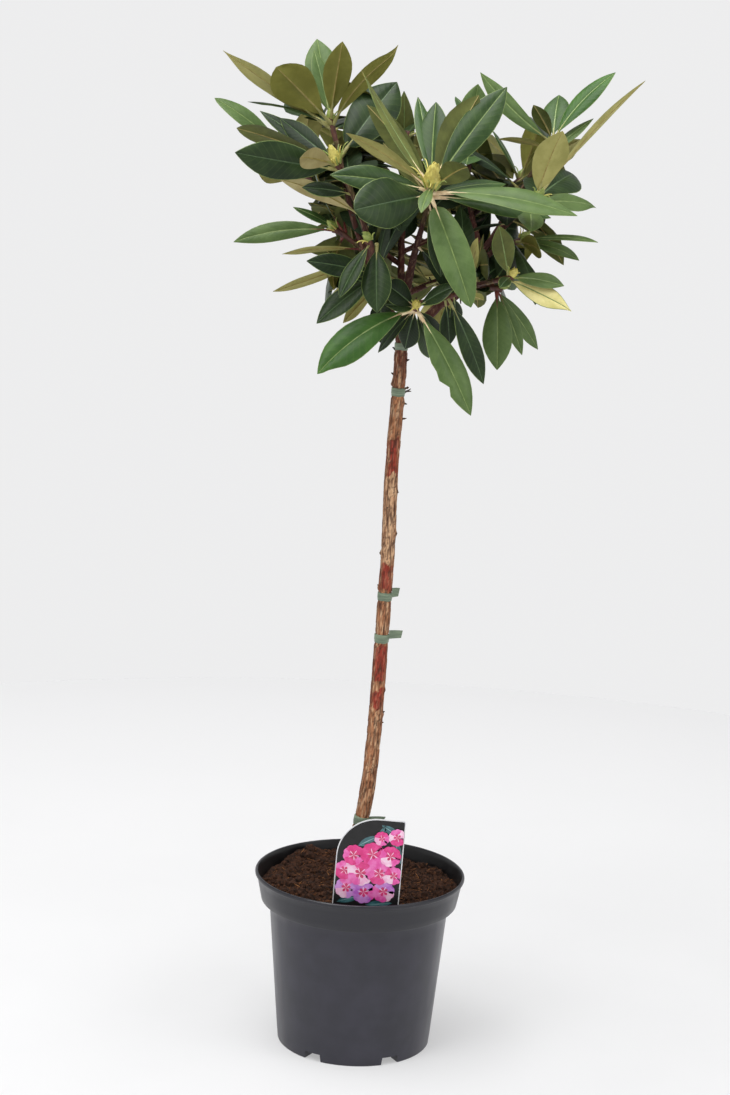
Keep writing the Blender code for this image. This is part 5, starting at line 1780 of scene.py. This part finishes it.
# middle of each printed flower on the card, its size and its first petal's turn
PRINTED_FLOWERS = (
    (-0.0215, 0.0200, 0.0120, 0.3), (-0.0030, 0.0165, 0.0125, 1.1), (0.0175, 0.0190, 0.0120, 0.6),
    (-0.0250, 0.0390, 0.0105, 0.9), (-0.0080, 0.0370, 0.0140, 0.2), (0.0115, 0.0385, 0.0130, 0.8),
    (0.0265, 0.0370, 0.0100, 0.1), (-0.0165, 0.0560, 0.0115, 0.5), (0.0030, 0.0585, 0.0130, 1.3),
    (0.0215, 0.0575, 0.0115, 0.4), (0.0270, 0.0785, 0.0095, 0.7), (0.0110, 0.0760, 0.0080, 0.0),
)


# foot of each printed leaf on the card, its turn and its length
PRINTED_LEAVES = (
    (-0.030, 0.0040, 0.35, 0.030), (0.0000, 0.0030, 0.15, 0.028), (0.0330, 0.0500, 1.9, 0.032),
    (0.0060, 0.0660, 1.25, 0.026), (-0.0130, 0.0660, 0.55, 0.024), (0.0100, 0.0900, -0.5, 0.024),
)
PRINTED_LEAF_WIDTH = 0.0040


def make_label():
    """The card on its stem, and the print on its front: a dark panel, leaves and flowers."""
    chance = random.Random(SEED + 21)
    card, ink = Gathered(), Gathered()
    sides = [[LABEL_PLACE @ Vector((x, depth, z)) for x, z in label_outline()]
             for depth in (-LABEL_THICKNESS / 2, LABEL_THICKNESS / 2)]
    card.add(*capped(sides), 0)
    placed = finished("label_card", card.mesh("label_card", outward=True), CARD_WHITE, angle=40)
    hand_over(placed, "printed_card", "label")
    flat_shape(ink, label_outline(inset=0.0005, stem=False), 1, 0)
    for x, z, bearing, length in PRINTED_LEAVES:
        printed_leaf(ink, x, z, bearing, length, 2)
    for layer, (x, z, size, first) in enumerate(PRINTED_FLOWERS):
        layer = 7 + 3 * layer
        inks = (0, 3, 3, 2) if z < 0.030 else (2, 2, 0, 1) if x > 0.005 else (0, 1, 1, 2)
        for n, fifth in enumerate(bearings(5)):
            shape = petal(x, z, first + fifth, size, size * 0.62, 0.10)
            flat_shape(ink, shape, layer + n % 2, 1 + chance.choice(inks))
        for fifth in bearings(5):
            flat_shape(ink, petal(x, z, first + fifth, size * 0.42, size * 0.13, 0.0), layer + 2, 5)
        for fifth in bearings(5):
            flat_shape(ink, petal(x, z, first + 0.6 + fifth, size * 0.50, size * 0.04, 0.0), layer + 2, 3)
    placed = finished("label_print", ink.mesh("label_print"), INK_BLACK, *PETAL_INKS, INK_THROAT, INK_THROAT,
                      INK_LEAF, INK_LEAF_RIB, smooth=False)
    hand_over(placed, "printed_card")


make_label()

# ------------------------------------------------------------------------ studio

def make_world():
    """Pale all round at eye level and dimmer overhead, so that the lamps shape the plant."""
    world = bpy.data.worlds.new("studio")
    bpy.context.scene.world = world
    world.use_nodes = True
    tree = world.node_tree
    heading = add_node(tree, "ShaderNodeTexCoord")
    parts = add_node(tree, "ShaderNodeSeparateXYZ", {0: heading.outputs["Generated"]})
    fade = add_node(tree, "ShaderNodeMapRange",
                    {"Value": parts.outputs["Z"], "From Min": STUDIO_LEVEL, "From Max": STUDIO_HIGH,
                     "To Min": 1.0, "To Max": STUDIO_ABOVE}, interpolation_type="SMOOTHSTEP")
    fill(tree, tree.nodes["Background"], {"Color": STUDIO_TONE, "Strength": fade.outputs["Result"]})


def make_studio():
    shape = bmesh.new()
    bmesh.ops.create_circle(shape, cap_ends=True, radius=FLOOR_RADIUS, segments=96)
    mesh = bpy.data.meshes.new("studio_floor")
    shape.to_mesh(mesh)
    shape.free()
    finished("studio_floor", mesh, studio_floor(), smooth=False)
    make_world()
    for name, place, aim, size, power in (
        ("top_light", (-0.3, -0.2, 3.0), (0.0, 0.0, 0.5), 2.2, 66.0),
        ("key_light", (-1.5, -1.6, 2.7), (0.0, 0.0, 0.6), 1.5, 29.0),
        ("fill_light", (1.9, -1.0, 2.2), (0.0, 0.0, 0.6), 1.4, 15.0),
    ):
        lamp = bpy.data.lights.new(name, "AREA")
        lamp.shape = "DISK"
        lamp.size = size
        lamp.energy = power
        light = linked(name, lamp)
        light.location = place
        light.rotation_mode = "QUATERNION"
        light.rotation_quaternion = (Vector(aim) - Vector(place)).to_track_quat("-Z", "Y")
    view = bpy.context.scene.view_settings
    view.view_transform = "Standard"
    view.look = "None"


make_studio()

bpy.context.view_layer.update()
